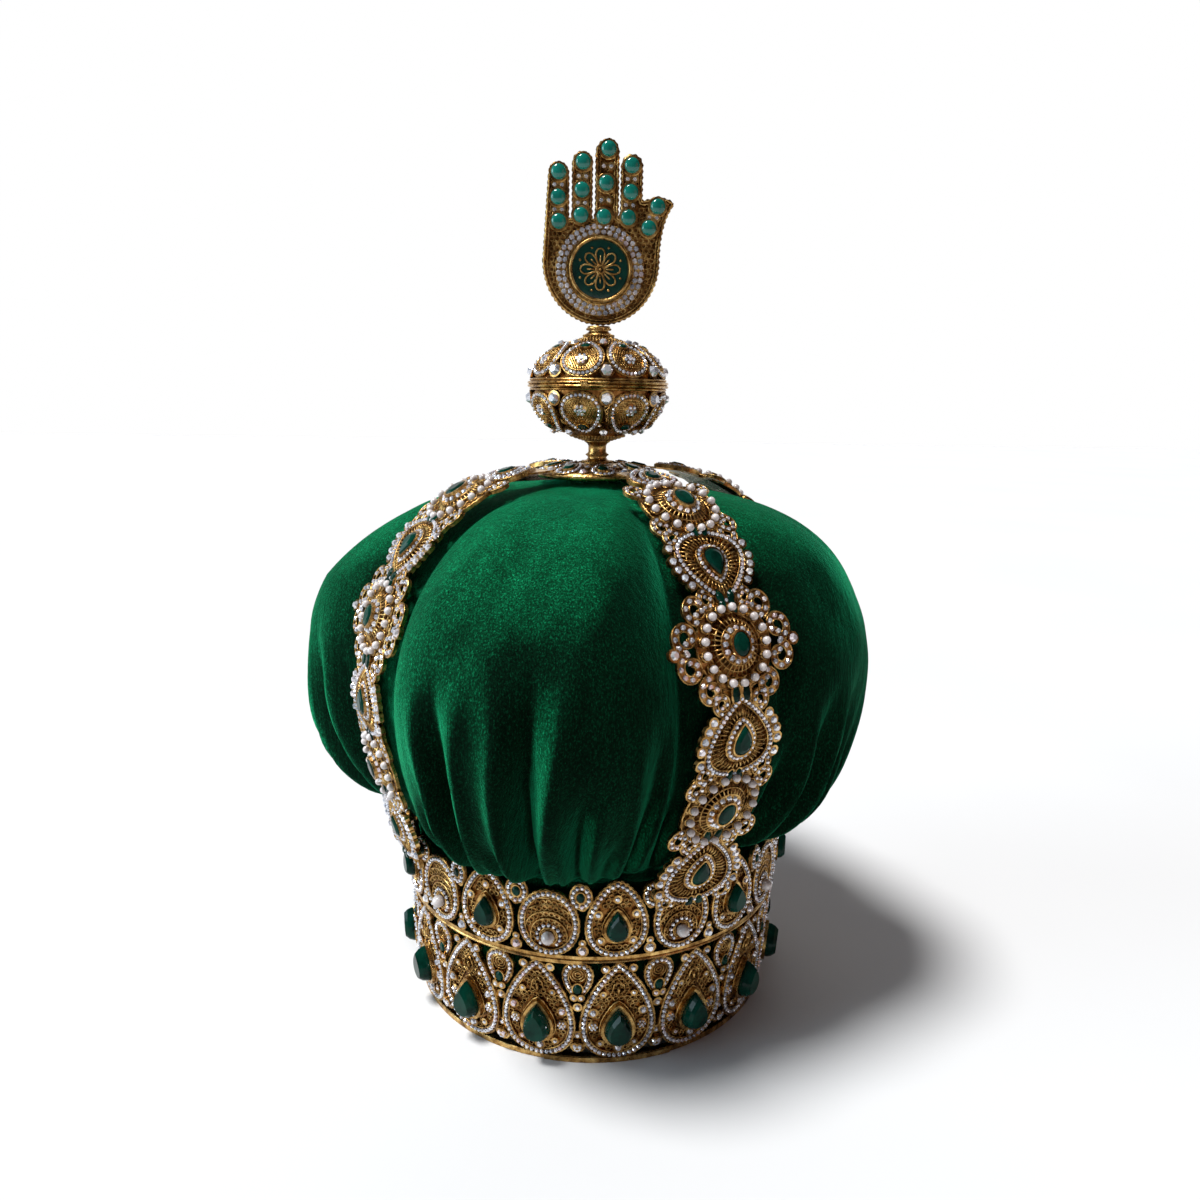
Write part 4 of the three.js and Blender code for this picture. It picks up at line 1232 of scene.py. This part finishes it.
def upper_circlet():
    heaps = new_heaps()
    flat_rim(heaps["gold"], wall_at(UPPER_RIM["low"])[0], UPPER_RIM)
    drop, pearl_plaque = upper_pear(), upper_round()
    between = crystals([(0, -12.2, 2.2), (0, -8.4, 1.1), (0, 9, 1.2)])
    step = 360 / UPPER["count"]
    for azimuth in azimuths(UPPER):
        lay(drop, wall_chart(azimuth, UPPER["pear_z"]), heaps)
        lay(pearl_plaque, wall_chart(azimuth + step / 2, UPPER["round_z"]), heaps)
        for side in (-1, 1):
            lay(between, wall_chart(azimuth + side * step / 4, UPPER["round_z"]), heaps)
    pieces_of(heaps, "upper_tier", "upper_circlet")


def stones(tier, name):
    """The large pear stones of a tier, one piece for all of their nodes."""
    girdle, crown = tier["cut"]
    top = girdle + crown
    levels = [(1, 0), (1, girdle), (0.9, girdle + crown * 0.55), (0.72, top), (0.66, top)]
    outline = pear(*tier["stone"], count=28)
    heap = Heap()
    for azimuth in azimuths(tier):
        chart = wall_chart(azimuth, tier["stone_z"], WALL["plate"] + STONE_LIFT)
        stacked(heap, chart, outline, levels, 0)
    nodes = [f"emerald_{name}_{k + 1}" for k in range(tier["count"])]
    heap.piece(f"{name}_emeralds", EMERALD, "emerald", *nodes)


def arches():
    designs = {"pear": arch_pear(0), "drop": arch_pear(180), "rosette": plain_rosette(),
               "winged": winged_rosette(), "leaf": arch_leaf()}
    run = np.linspace(0, ARCH_RUN[-1], 120)
    left, right = (np.stack([np.full(len(run), x), run], 1) for x in (-ARCH["spine"], ARCH["spine"]))
    spine = Design(ARCH_FACE)
    spine.ribbons.append((left, right, 0.1, 0.9))
    for number, azimuth in enumerate(azimuths(ARCH), 1):
        heaps = new_heaps()
        for order, (kind, _, _) in enumerate(STATIONS, 1):
            lay(designs[kind], arch_chart(azimuth, ARCH_RUN[order * ARCH_FINE]), heaps)
        lay(spine, arch_chart(azimuth, 0), heaps)
        pieces_of(heaps, f"arch_{number}", f"arch_{number}")


def crest():
    heaps = new_heaps()
    turned(heaps["gold"], CREST_ROWS, 64)
    leaf = Design(CREST_FACE)
    outline = pear(8.4, 13.6, 0, -20.6)
    leaf.gem(pear(5.2, 9.4, 0, -20.8, count=24), 1.8, 0.0, [(1, 0.2), (1, 1.6), (0.62, 2.6)], wall=0.6)
    leaf.row(inset(outline, -0.6), 1.0, 2.15)
    leaf.rope(inset(outline, -1.9), 0.45, CREST_FACE)
    between = crystals([(0, -25.4, 2), (0, -17, 1.3)], CREST_FACE)
    for azimuth in azimuths(CREST):
        lay(leaf, crest_chart(azimuth), heaps)
        lay(between, crest_chart(azimuth + 180 / CREST["count"]), heaps)
    edge = Design()
    edge.rope(disc(CREST["edge"], count=180), 0.8, CREST["edge_z"])
    lay(edge, axis_chart, heaps)
    pieces_of(heaps, "crest", "crest")


def post(name, rows, node_name, collars):
    """A turned post with rings of grains."""
    heap = Heap()
    turned(heap, rows, 48)
    for radius, z, size in collars:
        granules(heap, radius, z, size, size * 1.9)
    heap.piece(name, GOLD, "gold", node_name)


def orb_half(name, rows, side):
    """Half of the orb; side is 1 for the upper one and -1 for the lower one."""
    heaps = new_heaps()
    leaf, gap = orb_petal(), crystals([(0, 4.6, 2.9), (0, 24, 2.1)], ORB_FACE, 1.8)
    for azimuth in azimuths(ORB):
        lay(leaf, orb_chart(azimuth, rows), heaps)
        lay(gap, orb_chart(azimuth + 180 / ORB["count"], rows), heaps)
    pole = ORB_POLES[name]
    hoop(heaps["gold"], round_section(ORB["edge"], rows[0][1] + side * 0.5, 0.8, 0.6))
    hoop(heaps["gold"], [(radius, pole + side * rise) for radius, rise in ORB_CONE][::-side], 64)
    for (r0, z0), (r1, z1) in (rows[:2], rows[3:]):
        shell = [(r0 - 1.4, z0), (r1 - 1.4, z1), (r1 - 2.2, z1), (r0 - 2.2, z0)]
        # Inner shells in the darker gold that paints the shade inside the orb
        hoop(heaps["shaded_ground"], shell[::side], 96, smooth=False)
    for radius, rise in ORB_GRAINS:
        granules(heaps["gold"], radius, pole + side * rise, 0.7, 1.5)
    pieces_of(heaps, name, name)


def orb_seam():
    heap = Heap()
    across, up = SEAM["ring"]
    for z in (SEAM["z"] - up, SEAM["z"] + up):
        hoop(heap, round_section(SEAM["radius"], z, across, up))
    out, rise = SEAM["reach"]
    share = np.linspace(0, 1, 120)
    wind = share * SEAM["winds"] * 2 * np.pi
    turn = (SEAM["turn"] + SEAM["sweep"] * share) * DEG
    path = about_axis(SEAM["radius"] + out * np.cos(wind), turn, SEAM["z"] + rise * np.sin(wind))
    tube(heap, path, np.tile((0.3, 0.1, 1.0), (len(path), 1)), SEAM["wire"], False)
    heap.piece("orb_seam_rings", GOLD, "gold", "orb_seam")


def hand():
    heaps = new_heaps()
    lay(hand_design(), hand_chart, heaps)
    pieces_of(heaps, "hand", "hand")


def medallion():
    """An enamel dish in a gold rim, with a rosette of plain leaves."""
    middle, radius, rim = MEDALLION["middle"], MEDALLION["radius"], MEDALLION["rim"]
    high, top = HAND_FACE + MEDALLION["thick"], HAND_FACE + 1.7
    d = Design(HAND_FACE)
    outline = disc(2 * radius, *middle, count=80)
    d.band(outline, inset(outline, rim), HAND_FACE, high)
    d.flat_wire(inset(outline, rim / 2), 0.7, high - 0.3)
    step = 360 / MEDALLION["leaves"]
    for angle in np.arange(MEDALLION["leaves"]) * step:
        d.flat_wire(placed(pear(4.2, 8.2, 0, -5.2), *middle, angle), 0.45, top, 0.7)
        d.wire(raised(placed(np.array([(0, -2.6), (0, -6.2)]), *middle, angle), top), 0.4)
        d.grains.append((*placed(np.array((0, -10.2)), *middle, angle + step / 2), top, 0.8))
    d.flat_wire(disc(4, *middle), 0.5, top, 0.7)
    d.grains.append((*middle, top, 1.0))
    heaps = new_heaps()
    lay(d, hand_chart, heaps)
    heaps["gold"].piece("medallion_gold", GOLD, "gold")
    dish = Heap()
    bowl = [(1, 0), (1, 1.5), (0.96, 1.6), (0.5, 1.45), (0.05, 1.4)]
    levels = [(scale, HAND_FACE + h) for scale, h in bowl]
    edge = disc(2 * (radius - rim) + 0.2, *middle, count=64)
    stacked(dish, hand_chart, edge, levels, np.array(middle), smooth=True)
    dish.piece("medallion_enamel", ENAMEL, "enamel", "medallion")


def cabochons():
    dome = [(1, 0), (1, 0.5), (0.97, 1), (0.88, 1.55), (0.7, 2), (0.45, 2.25), (0.2, 2.35), (0.04, 2.38)]
    levels = [(scale, HAND_FACE + h) for scale, h in dome]
    heap = Heap()
    for spot in CABOCHONS:
        stacked(heap, hand_chart, disc(7, *spot, count=32), levels, np.array(spot), smooth=True)
    heap.piece("cabochons", TURQUOISE, "turquoise", *[f"cabochon_{k + 1}" for k in range(len(CABOCHONS))])


velvet_cap()
headband()
lower_circlet()
upper_circlet()
stones(LOWER, "lower")
stones(UPPER, "upper")
arches()
crest()
post("stem_post", STEM_ROWS, "stem", STEM_GRAINS)
orb_half("orb_lower", ORB_LOWER, -1)
orb_half("orb_upper", ORB_UPPER, 1)
orb_seam()
post("neck_post", NECK_ROWS, "neck", NECK_GRAINS)
hand()
medallion()
cabochons()


# Studio

def linked(name, data):
    obj = bpy.data.objects.new(name, data)
    bpy.context.scene.collection.objects.link(obj)
    return obj


def floor():
    mesh = bpy.data.meshes.new("floor")
    half = FLOOR_SIZE / 2
    corners = [(-half, -half, 0), (half, -half, 0), (half, half, 0), (-half, half, 0)]
    mesh.from_pydata(corners, [], [(0, 1, 2, 3)])
    material, tree = new_material("floor")
    paper = grey(tree, noise(tree, 3, 2), 0.63, 0.65)
    mesh.materials.append(dressed(material, {"Base Color": paper, "Roughness": 0.8}))
    linked("floor", mesh)


def lights():
    for name, place, strength, angle, colour in LIGHTS:
        lamp = bpy.data.lights.new(name, "SUN")
        lamp.energy, lamp.angle, lamp.color = strength, angle * DEG, colour
        obj = linked(name, lamp)
        obj.location = place
        x, y, z = place
        obj.rotation_euler = (math.pi / 2 - math.atan2(z, math.hypot(x, y)), 0, math.atan2(x, -y))


def surroundings():
    """A cool glow from the left, a warm one from the right, and a white wall behind the crown."""
    world = bpy.data.worlds.new("studio")
    world.use_nodes = True
    tree = world.node_tree
    towards = node(tree, "ShaderNodeTexCoord").outputs["Generated"]
    rightwards = turned_to(tree, towards, (1, 0, 0), -0.6, 0.6)
    around = ramp(tree, rightwards, [(0, WORLD["left"]), (1, WORLD["right"])])
    behind = grey(tree, dot(tree, towards, (0, 1, 0)), 0, 1, 0.55, 0.8)
    glow = mixed(tree, behind, around, (*WORLD["behind"], 1))
    plug(tree, glow, tree.nodes["Background"].inputs["Color"])
    bpy.context.scene.world = world
    bpy.context.scene.view_settings.view_transform = "Standard"


def camera():
    lens = bpy.data.cameras.new("camera")
    lens.lens, lens.sensor_width = CAMERA["lens"], CAMERA["sensor"]
    lens.clip_start, lens.clip_end = CAMERA_CLIP
    obj = linked("camera", lens)
    obj.location = [value * MM for value in CAMERA["place"]]
    tilt = Euler((math.pi / 2 - CAMERA["pitch"] * DEG, 0, 0)).to_matrix()
    obj.rotation_euler = (tilt @ Matrix.Rotation(CAMERA["roll"] * DEG, 3, "Z")).to_euler()
    bpy.context.scene.camera = obj


floor()
lights()
surroundings()
camera()
